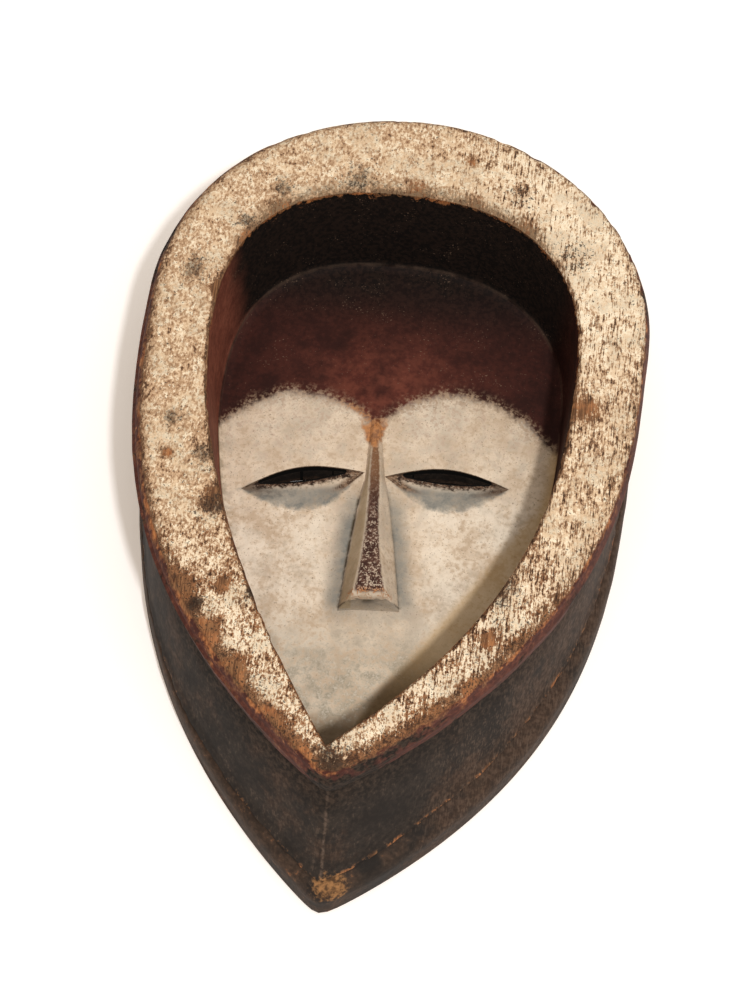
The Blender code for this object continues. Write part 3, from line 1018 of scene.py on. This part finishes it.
def recess_paint(paint):
    """Wine red on the recess's floor, redder in the forehead's middle as painted light, and nearly black up
    the far wall from dark paint and painted shade.
    """
    cloud, lumps, crumbs = paint.noises("cloud", "lumps", "crumbs")
    fillet, front_inner = paint.measures("fillet", "front_inner")
    wine = mottled((cloud * 0.6 + crumbs * 0.4).rise(0.38, 0.62), (44, 21, 17), (62, 30, 24), 0.75)
    red = mottled((lumps * 0.6 + crumbs * 0.4).rise(0.38, 0.62), (80, 38, 30), (106, 56, 43), 0.7)
    # painted light: the forehead's middle is redder than its top and sides, which the rim shades
    brow_glow = (paint.north - 0.062).near(0.058) * (paint.east + 0.004).near(0.070)
    wall = fillet.rise(-0.5 * MM, -3 * MM)
    recess = lay(wine, brow_glow * 1.1 * cloud.rise(0.2, 0.6), red)
    # the left wall is rosier, partly its paint and partly painted light where it faces the lamp
    rosy = mottled((lumps * 0.5 + crumbs * 0.5).rise(0.38, 0.62), (118, 65, 51), (144, 85, 67), 0.75)
    side_wall = paint.east.rise(-0.040, -0.072) * wall * paint.north.rise(0.140, 0.10)
    recess = lay(recess, side_wall * (cloud.rise(0.2, 0.6) * 0.4 + 0.6), rosy)
    # painted shade up the far wall and at the top of the forehead, over paint that is dark there
    shade = paint.north.rise(0.085, 0.135) * 0.62 + wall * paint.north.rise(0.07, 0.12) * 0.5
    near_black = mottled(crumbs.rise(0.4, 0.6), (17, 12, 10), (34, 24, 19), 0.8)
    recess = lay(recess, (shade + cloud * 0.5 - 0.25).rise(0.0, 0.75), near_black)
    # dust along the wall's foot, with a painted highlight where the fillet faces the light
    dust_and_highlight = (fillet + 0.8 * MM).near(1.6 * MM) * (cloud * 0.5 + lumps * 0.5).rise(0.35, 0.6) * 0.30
    recess = lay(recess, dust_and_highlight, Finish(tint(112, 92, 78), 0.9))
    rub = (lumps * 0.5 + crumbs * 0.5 + front_inner.near(4.5 * MM) * 0.17).rise(0.57, 0.65)
    return lay(recess, rub * front_inner.rise(-7 * MM, -3 * MM) * 0.9, bare_wood(paint))


print("wine red in linear light:", [round(share, 4) for share in tint(62, 30, 24)[:3]])

# %% [markdown]
# ## The outside
# The body is blackened, brown where hands have worn it and greyish where dust has rubbed in. It
# is browner on its right side, a painted sheen where the light falls. The flange is browner than
# the body, most on the left.

# %% Blacken the body
body = Paint("blackened wood")
broad, cloud, lumps, crumbs, scratch = body.noises("broad", "cloud", "lumps", "crumbs", "scratch")
front_outer, crest, back_edge = body.measures("front_outer", "crest", "back_edge")
east, north, high = body.east, body.north, body.high

black = mottled((cloud * 0.5 + crumbs * 0.5).rise(0.4, 0.6), (36, 31, 28), (50, 43, 38), 0.7)
brown = mottled((scratch * 0.4 + crumbs * 0.6).rise(0.38, 0.62), (54, 41, 33), (80, 63, 52), 0.7)
# painted sheen: browner on the right side, where the light falls, and a little near the lip
warm_side = east.rise(0.02, 0.08) * 0.12 + crest.rise(4 * MM, -6 * MM) * 0.04
coat = lay(black, (broad * 0.6 + lumps * 0.4 + warm_side).rise(0.50, 0.68), brown)
grey_scuff = mottled(crumbs.rise(0.4, 0.6), (76, 63, 54), (100, 84, 73), 0.8)
scuffs = (scratch * 0.3 + crumbs * 0.4 + cloud * 0.3 + east.rise(0.03, 0.09) * 0.04).rise(0.54, 0.64)
hatched = (scratch * 0.8 + cloud * 0.2).rise(0.50, 0.60) * east.rise(0.02, 0.06) * north.rise(0.05, -0.03)
coat = lay(coat, (scuffs * 0.35).most(hatched * 0.5), grey_scuff)
flange_brown = mottled((lumps * 0.5 + crumbs * 0.5).rise(0.4, 0.6), (56, 43, 34), (76, 58, 46), 0.75)
handled = (cloud * 0.8 + east.rise(0.0, -0.08) * 0.3).rise(0.3, 0.6)
coat = lay(coat, crest.rise(-1 * MM, -3 * MM) * handled * 0.8, flange_brown)
print("nodes in the dark coat:", len(body.tree.nodes))

# %% [markdown]
# ## Wear and painted shade of the outside
# The ridge over the chin is scuffed grey. The groove under the lip and the body under the rim are
# darkened with soot's colour as painted shade, most on the left under the rim. The lip and the tip
# of the chin are rubbed back to ochre wood, and so are a few places of the flange's lower edge. The
# hollow back is plain brown, and the rim's side has its own paint.

# %% Rub the edges of the body
CHIN_TIP = (0.0, -0.1855, 0.019)
TIP_PATCH = 12 * MM         # the rubbed patch at the tip fades out at about this distance

chin_ridge = (east + 0.0040).near(1.1 * MM) * north.rise(-0.150, -0.158) * crest.rise(0.0, 2 * MM)
coat = lay(coat, chin_ridge * crumbs.rise(0.25, 0.5) * 0.9, grey_scuff)
# painted shade in the groove under the lip
coat = lay(coat, (crest + 1.6 * MM).near(1.8 * MM) * 0.85, soot(body))
# painted shade on the body under the rim's overhang, darker on the left
coat = lay(coat, high.rise(0.048, 0.068) * (0.6 + east.rise(0.0, -0.05) * 0.25), soot(body))
lip_wear = (lumps * 0.5 + crumbs * 0.5 + east.rise(-0.03, 0.03) * 0.05 - 0.045).rise(0.50, 0.57)
lip_wear = lip_wear * (crest - 0.4 * MM + (crumbs - 0.5) * 3 * MM).near(2.6 * MM) * north.rise(0.08, 0.0)
coat = lay(coat, lip_wear * 0.7, bare_wood(body))
tip_way = body.node("ShaderNodeVectorMath", {"operation": "DISTANCE"}, {0: body.place, 1: CHIN_TIP}, "Value")
tip_wear = (tip_way.rise(TIP_PATCH, 2 * MM) * 0.34 + lumps * 0.4 + crumbs * 0.6).rise(0.56, 0.76)
tip_wood = mottled((crumbs * 0.7 + lumps * 0.3).rise(0.40, 0.60), (92, 66, 44), (160, 116, 74), 0.85)
coat = lay(coat, tip_wear * tip_way.rise(13 * MM, 6 * MM) * 0.85, tip_wood)
edge_wear = lumps * 0.5 + crumbs * 0.5 + (back_edge + 3 * MM).near(8 * MM) * 0.04
edge_wear = (edge_wear + east.rise(0.05, -0.06) * 0.06 - 0.02).rise(0.60, 0.70)
edge_wear = edge_wear * crest.rise(-1 * MM, -4 * MM) * north.rise(0.08, -0.04)
coat = lay(coat, edge_wear * 0.4, bare_wood(body))
inside_back = back_edge.rise(-19 * MM, -24 * MM)
coat = lay(coat, inside_back * (0.6 + cloud * 0.4), brown)
rim_side = high.rise(0.0745, 0.0775) * front_outer.rise(-40 * MM, -30 * MM)
coat = lay(coat, rim_side, side_paint(body))
body.finish(coat, crumbs * 0.6 + lumps * 0.4, 0.4)
print("nodes in the body's paint:", len(body.tree.nodes))

# %% [markdown]
# ## White kaolin
# The face is a thick matt coat, warm off-white, clouded with grey, stained brown and paler on
# the cheeks. One noise would look like plain speckle. Five of them, each with its own size of
# mark, give the coat its clouds, pale marks, stains and pits.

# %% Mix the white coat
face = Paint("white face in a wine red recess")
broad, cloud, lumps, crumbs, dust, bristles = face.noises(
    "broad", "cloud", "lumps", "crumbs", "dust", "bristles")
fillet, heart, slit_away, eye = face.measures("fillet", "heart", "slit", "socket")
ridge, across, along, lift, nose_away = face.measures("ridge", "across", "along", "lift", "nose")
jitter = crumbs - 0.5

fine = (cloud * 0.3 + lumps * 0.3 + crumbs * 0.4).rise(0.40, 0.60)
cream = face.mix(fine, tint(194, 172, 147), tint(229, 210, 186))
clouded = stain_or_shade(cream, (lumps * 0.6 + broad * 0.4).rise(0.46, 0.60) * 0.6, 184, 172, 154)
rubbed_in = (crumbs * 0.6 + lumps * 0.25 + broad * 0.15).rise(0.48, 0.62)
browned = stain_or_shade(clouded, rubbed_in * (along.rise(0.010, 0.030) * 0.25 + 0.45), 166, 134, 110)
cheeks = along.rise(0.0, -0.020) * along.rise(-0.11, -0.08) * abs(across).rise(0.016, 0.030)
pale_marks = (cloud * 0.35 + crumbs * 0.4 + broad * 0.25).rise(0.40, 0.60)
paler_cheeks = stain_or_shade(browned, pale_marks * (cheeks * 0.45 + 0.2), 240, 228, 210)
pitted = stain_or_shade(paler_cheeks, dust.rise(0.62, 0.72) * 0.6, 122, 102, 84)
print("nodes in the white coat:", len(face.tree.nodes))

# %% [markdown]
# ## Dirt and painted shadow where the face meets the wall
# Low down the coat is greyer, with paler grains left in it, and dirt lies along the foot of the
# wall, with painted shade growing towards the chin. The right rim's shadow is painted as a warm
# tint down the right side to the chin, and the corner over the chin is painted dark brown as
# shade. The painted shadow's border is a slanting line on the face's own axes. Noise is added to
# it, so that it wanders.

# %% Dirty and shade the coat
SHADOW_FOOT = 0.1125         # the painted shadow's border crosses the middle line this far below the bridge
SHADOW_SLOPE = 0.76

chin_face = along.rise(-0.060, -0.105)
dirt_and_shade = stain_or_shade(pitted, chin_face * (crumbs * 0.6 + lumps * 0.4).rise(0.38, 0.62) * 0.8, 144, 136, 118)
dirt_and_shade = stain_or_shade(dirt_and_shade, chin_face * (dust * 0.4 + crumbs * 0.6).rise(0.48, 0.66) * 0.55, 226, 214, 196)
# dirt along the wall's foot, plus painted shade that grows towards the chin's corner
at_wall = fillet.rise(6 * MM, 0.0) * (lumps.rise(0.35, 0.6) * 0.45 + along.rise(-0.115, -0.145) * 0.5)
dirt_and_shade = stain_or_shade(dirt_and_shade, at_wall, 108, 90, 68)
# painted shadow of the right rim: a warm tint right of a slanting line
to_right = across - (along + SHADOW_FOOT) * SHADOW_SLOPE + along.rise(-0.015, 0.025) * 17 * MM
to_right = to_right - 2 * MM + (cloud - 0.5) * 6 * MM
dirt_and_shade = stain_or_shade(dirt_and_shade, to_right.rise(-3 * MM, 5 * MM) * 0.6, 178, 142, 88)
# painted shade: the chin's corner and the rim's shadow beside it turn dark brown
beside_chin = along.rise(-0.086, -0.116) * to_right.rise(-4 * MM, 3 * MM)
chin_corner = (along + jitter * 6 * MM).rise(-0.118, -0.131).most(beside_chin)
dirt_and_shade = stain_or_shade(dirt_and_shade, chin_corner * (crumbs * 0.3 + 0.72), 94, 74, 50)
print("nodes with the dirt:", len(face.tree.nodes))

# %% [markdown]
# ## Painted shade in the hollows
# Beside the nose and under the eyes the coat is painted grey as shade, a little more on the
# nose's left, and a warm brown painted shade lies on the nose's left flank, away from the light.
# The measures from the nose's foot and from the eyes' lenses place both.

# %% Shade the hollows
# painted shadow of the nose on the face beside it
beside_nose = nose_away.rise(11 * MM, 1.0 * MM) * nose_away.rise(-0.6 * MM, 0.2 * MM)
beside_nose = beside_nose * along.rise(0.006, -0.025) * (across.rise(4 * MM, -4 * MM) * 0.1 + 0.85)
beside_nose = beside_nose * (along.rise(-0.069, -0.064) * 0.5 + 0.5)
# painted shade under the eyes, on the slanting lower lids
ragged_eye = eye + (lumps - 0.5) * 5 * MM
below_eye = ragged_eye.rise(-2.0 * MM, 1.0 * MM) * eye.rise(9 * MM, 2 * MM) * along.rise(1.0 * MM, -5 * MM)
hollows = beside_nose.most(below_eye * 0.9)
shaded = stain_or_shade(dirt_and_shade, hollows * (lumps * 0.8 + crumbs * 0.5 + 0.2), 114, 116, 112)
# painted shade on the nose's left flank, which faces away from the light
flank = lift.rise(1.0 * MM, 2.2 * MM) * (-ridge).rise(0.0, 1.0 * MM) * across.rise(1 * MM, -1 * MM)
flanked = stain_or_shade(shaded, flank * (lumps * 0.6 + 0.3), 160, 138, 102)
print("nodes with the hollows:", len(face.tree.nodes))

# %% [markdown]
# ## The border of the heart
# The coat ends in a rough brushed border at the forehead, over the recess's wine red. The measure
# "heart" is 0 on the border, and noise added to it frays the line. Thin powdery brown lies on
# both sides of it, where the brush ran dry.

# %% Lay the coat in the recess
on_floor = fillet.rise(-1.6 * MM, -0.4 * MM)
border = heart + (cloud * 0.4 + lumps * 0.2 + crumbs * 0.2 + bristles * 0.2 - 0.5) * 17 * MM
powder = mottled(crumbs.rise(0.42, 0.58), (82, 54, 42), (158, 134, 110), 0.88)
skin = recess_paint(face)
skin = lay(skin, (dust * 0.7 + cloud * 0.3).rise(0.64, 0.68) * 0.5, Finish(tint(132, 108, 90), 0.9))
run_dry = border.rise(-7.0 * MM, 1.5 * MM) * (crumbs * 0.5 + dust * 0.5).rise(0.40, 0.60)
skin = lay(skin, run_dry * on_floor * 0.8, powder)
skin = lay(skin, border.rise(-2.0 * MM, 5.0 * MM) * on_floor, Finish(flanked, 0.92))
frayed = border.rise(12 * MM, 1 * MM) * (crumbs * 0.5 + dust * 0.2 + lumps * 0.3).rise(0.47, 0.58) * on_floor
skin = lay(skin, frayed * (across.rise(-0.02, 0.03) * 0.4 + 0.35) * heart.rise(-2 * MM, 1 * MM), powder)
print("nodes with the border:", len(face.tree.nodes))

# %% [markdown]
# ## Sooty lids and shaded slits
# The upper lids and the edges of the slits are rubbed dark, the eyes' outer corners get a grey
# painted shade, and the slits' own walls are painted black as the shade inside them.
# How far a point is from a slit, and how far below the face's surface it lies, tells the lids
# from the cheeks.

# %% Darken the lids
lid_brown = mottled(crumbs.rise(0.4, 0.6), (48, 35, 28), (100, 76, 60), 0.88)
lid_wall = mottled(crumbs.rise(0.4, 0.6), (84, 64, 50), (140, 114, 92), 0.88)
# painted shade: the slits' walls are painted black
in_slit = slit_away.rise(1.1 * MM, 0.6 * MM) * (-lift).rise(0.6 * MM, 1.4 * MM)
upper_wall = (-lift).rise(0.1 * MM, 0.6 * MM) * eye.rise(2.4 * MM, 1.2 * MM) * along.rise(-7 * MM, -3 * MM)
skin = lay(skin, upper_wall * (1.0 - dust.rise(0.56, 0.66) * 0.5), lid_wall)
lower_band = (slit_away + jitter * 7.0 * MM).rise(4.6 * MM, 2.0 * MM) * (-lift).rise(1.2 * MM, 2.2 * MM)
skin = lay(skin, lower_band * (1.0 - dust.rise(0.56, 0.66) * 0.5), lid_brown)
# painted shade in the eyes' outer corners
corners = eye.rise(-0.8 * MM, 0.6 * MM) * slit_away.rise(1 * MM, 4 * MM) * slit_away.rise(12 * MM, 5 * MM)
corners = corners * eye.rise(4 * MM, 1.5 * MM) * abs(across).rise(0.036, 0.050)
skin = lay(skin, corners * crumbs.rise(0.3, 0.6) * 0.7, Finish(tint(96, 86, 76), 0.9))
skin = lay(skin, in_slit, Finish(tint(9, 8, 7), 0.95))
print("nodes with the lids:", len(face.tree.nodes))

# %% [markdown]
# ## The dark ridge of the nose
# The nose's flat ridge was left dark red brown, paler between the brows and specked with white
# low down. A thin line of painted shade runs mostly along its left foot, and a painted shadow lies
# under its end.

# %% Darken the ridge of the nose
stripe_dark = face.mix((lumps * 0.5 + crumbs * 0.5).rise(0.42, 0.58), tint(64, 42, 36), tint(98, 70, 58))
stripe = Finish(stain_or_shade(stripe_dark, along.rise(-0.018, 0.010) * 0.8, 128, 92, 64), 0.85)
on_ridge = (ridge - 0.3 * MM + jitter * 2.4 * MM).rise(-0.6 * MM, 0.6 * MM)
on_ridge = on_ridge * lift.rise(0.2 * MM, 1.2 * MM) * on_floor
on_ridge = on_ridge * (along + jitter * 8 * MM).rise(23 * MM, 14 * MM)
on_ridge = on_ridge * (along + jitter * 4 * MM).rise(-0.0665, -0.0640)
ridge_specks = (crumbs * 0.4 + dust * 0.6).rise(0.52, 0.58) * (along.rise(-0.012, -0.030) * 0.55 + 0.15)
skin = lay(skin, on_ridge * (1.0 - ridge_specks), stripe)
# painted shade along the nose's foot, stronger on the left, away from the light
foot_shade = nose_away.near(1.5 * MM) * along.rise(-2 * MM, -12 * MM)
foot_shade = foot_shade * (across.rise(2 * MM, -2 * MM) * 0.65 + 0.35)
# painted shadow under the nose's end
under_end = along.rise(-0.0660, -0.0675) * nose_away.rise(2.0 * MM, 0.3 * MM) * lift.rise(9 * MM, 0.5 * MM)
nose_shade = Finish(tint(76, 66, 52), 0.9)
skin = lay(skin, (foot_shade * lumps.rise(0.25, 0.6)).most(under_end * (crumbs * 0.7 + 0.35)), nose_shade)
print("nodes with the ridge:", len(face.tree.nodes))

# %% [markdown]
# ## Ochre marks
# The notch of the heart between the brows, a stain to the left of it and the worn tip of the nose
# show ochre wood through the paint. They are laid last, over everything else on the face.

# %% Rub the face through to ochre
ochre = mottled(crumbs.rise(0.4, 0.6), (134, 84, 48), (180, 118, 66), 0.85)
notch_width = 2.0 * MM + (along - 17 * MM) * 0.36
notch = notch_width - abs(across + 0.6 * MM) + (lumps - 0.5) * 6 * MM + jitter * 2 * MM
notch = notch.rise(-1.0 * MM, 1.4 * MM)
notch = notch * (along + jitter * 8 * MM).rise(13 * MM, 19 * MM)
notch = notch * (along + (lumps - 0.5) * 8 * MM).rise(34 * MM, 28 * MM)
skin = lay(skin, notch * 0.9, ochre)
stain_left = (border - 1 * MM).near(4 * MM) * across.rise(-0.024, -0.006) * across.rise(0.002, -0.004)
skin = lay(skin, stain_left * crumbs.rise(0.35, 0.6) * on_floor * 0.8, ochre)
nose_tip = (along + 0.0650).near(3.5 * MM) * lift.rise(6 * MM, 8 * MM) * nose_away.rise(1 * MM, -1 * MM)
nose_tip = nose_tip * (crumbs * 0.6 + dust * 0.4).rise(0.49, 0.55)
skin = lay(skin, nose_tip * 0.8, ochre)
face.finish(skin, crumbs * 0.6 + lumps * 0.4, 0.4)
print("nodes in the face's paint:", len(face.tree.nodes))

# %% [markdown]
# ## The worn rim
# The rim's front had the same white coat, but hands and shelves have rubbed it down to thin tan
# paint and bare wood. On the right and below, long scratches follow the grain. On the left the
# coat breaks into crumbs. First one number, the cover, says how much paint is left at each point.
# It is low at the edges and at the bare spots, and high in the upper right corner.

# %% Measure the rim's cover
COVER_LEVEL = 0.48          # the white paint wears through at about this cover

rim = Paint("worn white rim")
cloud, lumps, crumbs, dust, fleck, scratch = rim.noises(
    "cloud", "lumps", "crumbs", "dust", "fleck", "scratch")
front_outer, front_inner, bare, sooty = rim.measures("front_outer", "front_inner", "bare", "soot")
east, north = rim.east, rim.north

low = north.rise(-0.015, -0.095)
west = east.rise(-0.045, -0.085)
streaky = (east.rise(-0.02, 0.06) * 0.8).most(low * 0.3)
outer_edge = front_outer.rise(9 * MM, 0.0)
outer_rub = front_outer.rise(6 * MM, 0.0) * west * 0.11
inner_rub = front_inner.near(4 * MM) * (west * 0.04 + 0.11)
at_edge = (outer_edge * (low * 0.11 + 0.04)).most(outer_rub).most(inner_rub)
bright_corner = east.rise(0.02, 0.07) * north.rise(0.03, 0.09) * 0.03
cover = cloud * 0.22 + lumps * 0.28 + fleck * 0.5 + (scratch - 0.5) * (streaky * 0.55 + 0.1)
cover = cover - bare * 0.17 - at_edge - sooty * 0.04 - low * 0.008
cover = cover + north.rise(0.04, 0.13) * 0.02 + bright_corner
cover = (cover - COVER_LEVEL) * (low * 0.9 + east.rise(0.0, 0.06) * 0.25 + 1.0) + COVER_LEVEL
print("nodes in the rim's cover:", len(rim.tree.nodes))

# %% [markdown]
# ## Paint and wood of the rim
# Old wood, tan paint and white paint lie over each other, each where the cover is high enough.
# Below, the wood has strong contrast, and there and in the upper right the last white is brighter,
# a painted glint where the light catches it.

# %% Lay the rim's coats
old_wood = mottled((crumbs * 0.5 + scratch * 0.5).rise(0.4, 0.6), (78, 55, 40), (148, 110, 80), 0.8)
low_wood = mottled((crumbs * 0.6 + dust * 0.4).rise(0.42, 0.60), (58, 38, 28), (172, 112, 68), 0.8)
old_wood = Finish(rim.mix(low * 0.6, old_wood.colour, low_wood.colour), 0.8)
tan = mottled((fleck * 0.6 + dust * 0.4).rise(0.42, 0.6), (172, 138, 106), (208, 174, 140), 0.88)
white = mottled(crumbs.rise(0.40, 0.62), (222, 194, 160), (246, 230, 202), 0.9)
# painted highlight: brighter white where the light glints, below and in the upper right
painted_glint = (low * 0.6 + bright_corner * 15) * dust.rise(0.35, 0.6)
white = Finish(stain_or_shade(white.colour, painted_glint, 255, 243, 218), 0.85)
rubbed_bare = (bare * 1.5 - 0.3 + (lumps - 0.5) * 2 + at_edge * 2.0).rise(0.2, 0.6)
worn = lay(old_wood, rubbed_bare * 0.85, bare_wood(rim))
worn = lay(worn, cover.rise(0.40, 0.45), tan)
worn = lay(worn, (cover + (dust - 0.5) * (low * 0.25 + 0.1)).rise(0.475, 0.545), white)
print("nodes with the coats:", len(rim.tree.nodes))

# %% [markdown]
# ## Soot, smoke and gouges of the rim
# Dark specks fill the pores, long gouges run with the grain, smoke has greyed the paint above
# the recess, and dark smudges lie on the left and below. A dark line follows the outer edge on
# the left and at the top. Last, the paints of the rim's side and of the recess take over past the
# front's two edges.

# %% Darken the rim
smoked = front_inner.rise(11 * MM, 1 * MM) * north.rise(0.09, 0.13) * 1.3
smoked = smoked.most(cloud.rise(0.48, 0.60) * 0.45)
grey = stain_or_shade(worn.colour, smoked * (dust * 0.5 + crumbs * 0.5).rise(0.38, 0.56) * 0.7, 128, 106, 82)
dark_specks = dust * 0.55 + crumbs * 0.45 + sooty * 0.09 + outer_edge * 0.03 + low * 0.03
worn = lay(Finish(grey, worn.roughness), dark_specks.rise(0.60, 0.65) * 0.85, soot(rim))
gouges = (scratch * 0.7 + lumps * 0.3).rise(0.425, 0.38) * (streaky * 0.8 + 0.1)
worn = lay(worn, gouges * (low * 0.2 + 0.75), soot(rim))
smudges = (sooty * 1.2 + (crumbs - 0.5) * 2.0 - 0.55).rise(0.0, 0.5)
smudges = smudges * (low * 0.35 + east.rise(0.03, -0.05) * 0.4 + 0.1)
worn = lay(worn, smudges * (1.0 - dust.rise(0.56, 0.62) * 0.6), soot(rim))
dark_line = (front_outer + 1.0 * MM).near(2.4 * MM) * east.rise(0.04, -0.04).most(north.rise(0.09, 0.14))
worn = lay(worn, dark_line * (crumbs * 0.5 + lumps * 0.5).rise(0.38, 0.54) * 0.8, soot(rim))
near_front = (crumbs - 0.5) * 2 * MM
front = (front_outer + near_front).rise(-1.2 * MM, 0.6 * MM)
front = front * (front_inner + near_front).rise(-1.0 * MM, 0.4 * MM)
behind = lay(side_paint(rim), front_inner.rise(10 * MM, 4 * MM), recess_paint(rim))
rim.finish(lay(behind, front, worn), (fleck * 0.5 + crumbs * 0.25 + scratch * 0.25) * 1.5, 1.0)
print("nodes in the rim's paint:", len(rim.tree.nodes))

# %% [markdown]
# ## One mesh, three paints
# Each face of the mesh takes the paint of its zone. The three paints share the layers near their
# borders, so that no line shows where one ends.

# %% Give each face its paint
BORDER = 3.5 * MM
BODY_PAINT, FACE_PAINT, RIM_PAINT = range(3)
carving.data.materials.clear()
for paint in (body, face, rim):
    carving.data.materials.append(paint.material)
zone = np.full(len(points), BODY_PAINT)
zone[measures["front_inner"] < -BORDER] = FACE_PAINT
zone[(measures["front_outer"] > -BORDER) & (measures["front_inner"] > -BORDER)] = RIM_PAINT
first_corner = np.empty(len(carving.data.polygons), np.int32)
carving.data.polygons.foreach_get("loop_start", first_corner)
corner_vertex = np.empty(len(carving.data.loops), np.int32)
carving.data.loops.foreach_get("vertex_index", corner_vertex)
face_zone = zone[corner_vertex[first_corner]].astype(np.int32)
carving.data.polygons.foreach_set("material_index", face_zone)
carving.data.update()
print("faces in each paint:", np.bincount(face_zone).tolist())

# %% [markdown]
# ## The table
# The mask lies on a pale table. The table glows faintly away from the mask, and so the mask's own
# shadow on it stays pale, as in a bright room. The glow leaves out an oval under the mask.

# %% Set the table
TABLE_SIZE = 8.0
TABLE_DROP = 0.0003         # keeps the table's face and the mask's flat back apart
TABLE_COLOUR = (0.93, 0.93, 0.94, 1)
GLOW_COLOUR = (1.0, 0.80, 0.62, 1)
GLOW_STRENGTH = 0.26
DARK_HALF_WIDTH = 0.085     # the oval under the mask that doesn't glow
DARK_HALF_LENGTH = 0.12
DARK_OVAL = (1 / DARK_HALF_WIDTH, 1 / DARK_HALF_LENGTH, 0.0)

bpy.ops.mesh.primitive_plane_add(size=TABLE_SIZE, location=(0.0, 0.0, -TABLE_DROP))
table = bpy.context.object
table.name = "table"
cloth = Paint("pale table")
place_in_oval = cloth.node("ShaderNodeVectorMath", {"operation": "MULTIPLY"}, {0: cloth.place, 1: DARK_OVAL})
from_middle = cloth.node("ShaderNodeVectorMath", {"operation": "LENGTH"}, {0: place_in_oval}, "Value")
glow = cloth.mix(from_middle.rise(0.8, 1.05), (0.0, 0.0, 0.0, 1), GLOW_COLOUR)
cloth.tree.links.new(glow.socket, cloth.surface.inputs["Emission Color"])
cloth.surface.inputs["Emission Strength"].default_value = GLOW_STRENGTH
cloth.surface.inputs["Base Color"].default_value = TABLE_COLOUR
cloth.surface.inputs["Roughness"].default_value = 0.8
table.data.materials.append(cloth.material)
print("table's side in metres:", TABLE_SIZE)

# %% [markdown]
# ## Light
# The key lamp is small and far, on the chin's side and a little to the right, so the rim's shadow
# on the face has a crisp edge. A soft lamp overhead and warm surroundings fill the shadows.

# %% Set the lights
KEY_SLOPE = Vector((0.2130, -0.4420, 1.0))    # the way from the mask to the lamp
KEY_DISTANCE = 3.0
KEY_SIZE = 0.16
KEY_POWER = 50.0
KEY_COLOUR = (1.0, 0.985, 0.965)
OVERHEAD_PLACE = (0.15, -0.10, 1.55)
OVERHEAD_SIZE = 1.2
OVERHEAD_POWER = 7.0
OVERHEAD_COLOUR = (1.0, 0.96, 0.92)
ROOM_COLOUR = (1.0, 0.90, 0.79, 1)
ROOM_STRENGTH = 0.40
ABOVE_MASK = Vector((0.0, 0.0, MASK_HEIGHT / 2))


def lamp(name, place, size, power, colour):
    """A round lamp that points at the mask."""
    bpy.ops.object.light_add(type="AREA", location=place)
    light = bpy.context.object
    light.name = name
    light.data.shape = "DISK"
    light.data.size = size
    light.data.energy = power
    light.data.color = colour
    light.rotation_euler = (ABOVE_MASK - Vector(place)).to_track_quat("-Z", "Y").to_euler()


key_place = ABOVE_MASK + KEY_SLOPE.normalized() * KEY_DISTANCE
lamp("key", key_place, KEY_SIZE, KEY_POWER, KEY_COLOUR)
lamp("overhead", OVERHEAD_PLACE, OVERHEAD_SIZE, OVERHEAD_POWER, OVERHEAD_COLOUR)
world = bpy.data.worlds.new("pale room")
bpy.context.scene.world = world
world.use_nodes = True
world.node_tree.nodes["Background"].inputs["Color"].default_value = ROOM_COLOUR
world.node_tree.nodes["Background"].inputs["Strength"].default_value = ROOM_STRENGTH
bpy.context.scene.view_settings.view_transform = "Standard"
print("key lamp at:", [round(value, 2) for value in key_place])

# %% [markdown]
# ## Camera
# The photograph looks down on the mask from the chin's side, a little from the right. A long lens
# from that direction gives the same outline.

# %% Place the camera
AZIMUTH = math.radians(5.56)
ELEVATION = math.radians(64.0)
ROLL = math.radians(1.48)
DISTANCE = 1.4
LENS = 104.7
SENSOR = 36.0
TARGET = Vector((-0.0035, -0.00045, 0.05))

back = Vector((math.sin(AZIMUTH) * math.cos(ELEVATION), -math.cos(AZIMUTH) * math.cos(ELEVATION),
               math.sin(ELEVATION)))
right = Vector((math.cos(AZIMUTH), math.sin(AZIMUTH), 0.0))
up = back.cross(right)
rolled_right = right * math.cos(ROLL) + up * math.sin(ROLL)
rolled_up = back.cross(rolled_right)
bpy.ops.object.camera_add()
camera = bpy.context.object
camera.matrix_world = Matrix.Translation(TARGET + back * DISTANCE) @ Matrix(
    (rolled_right, rolled_up, back)).transposed().to_4x4()
camera.data.lens = LENS
camera.data.sensor_width = SENSOR
bpy.context.scene.camera = camera
print("camera at:", [round(value, 3) for value in camera.matrix_world.translation])
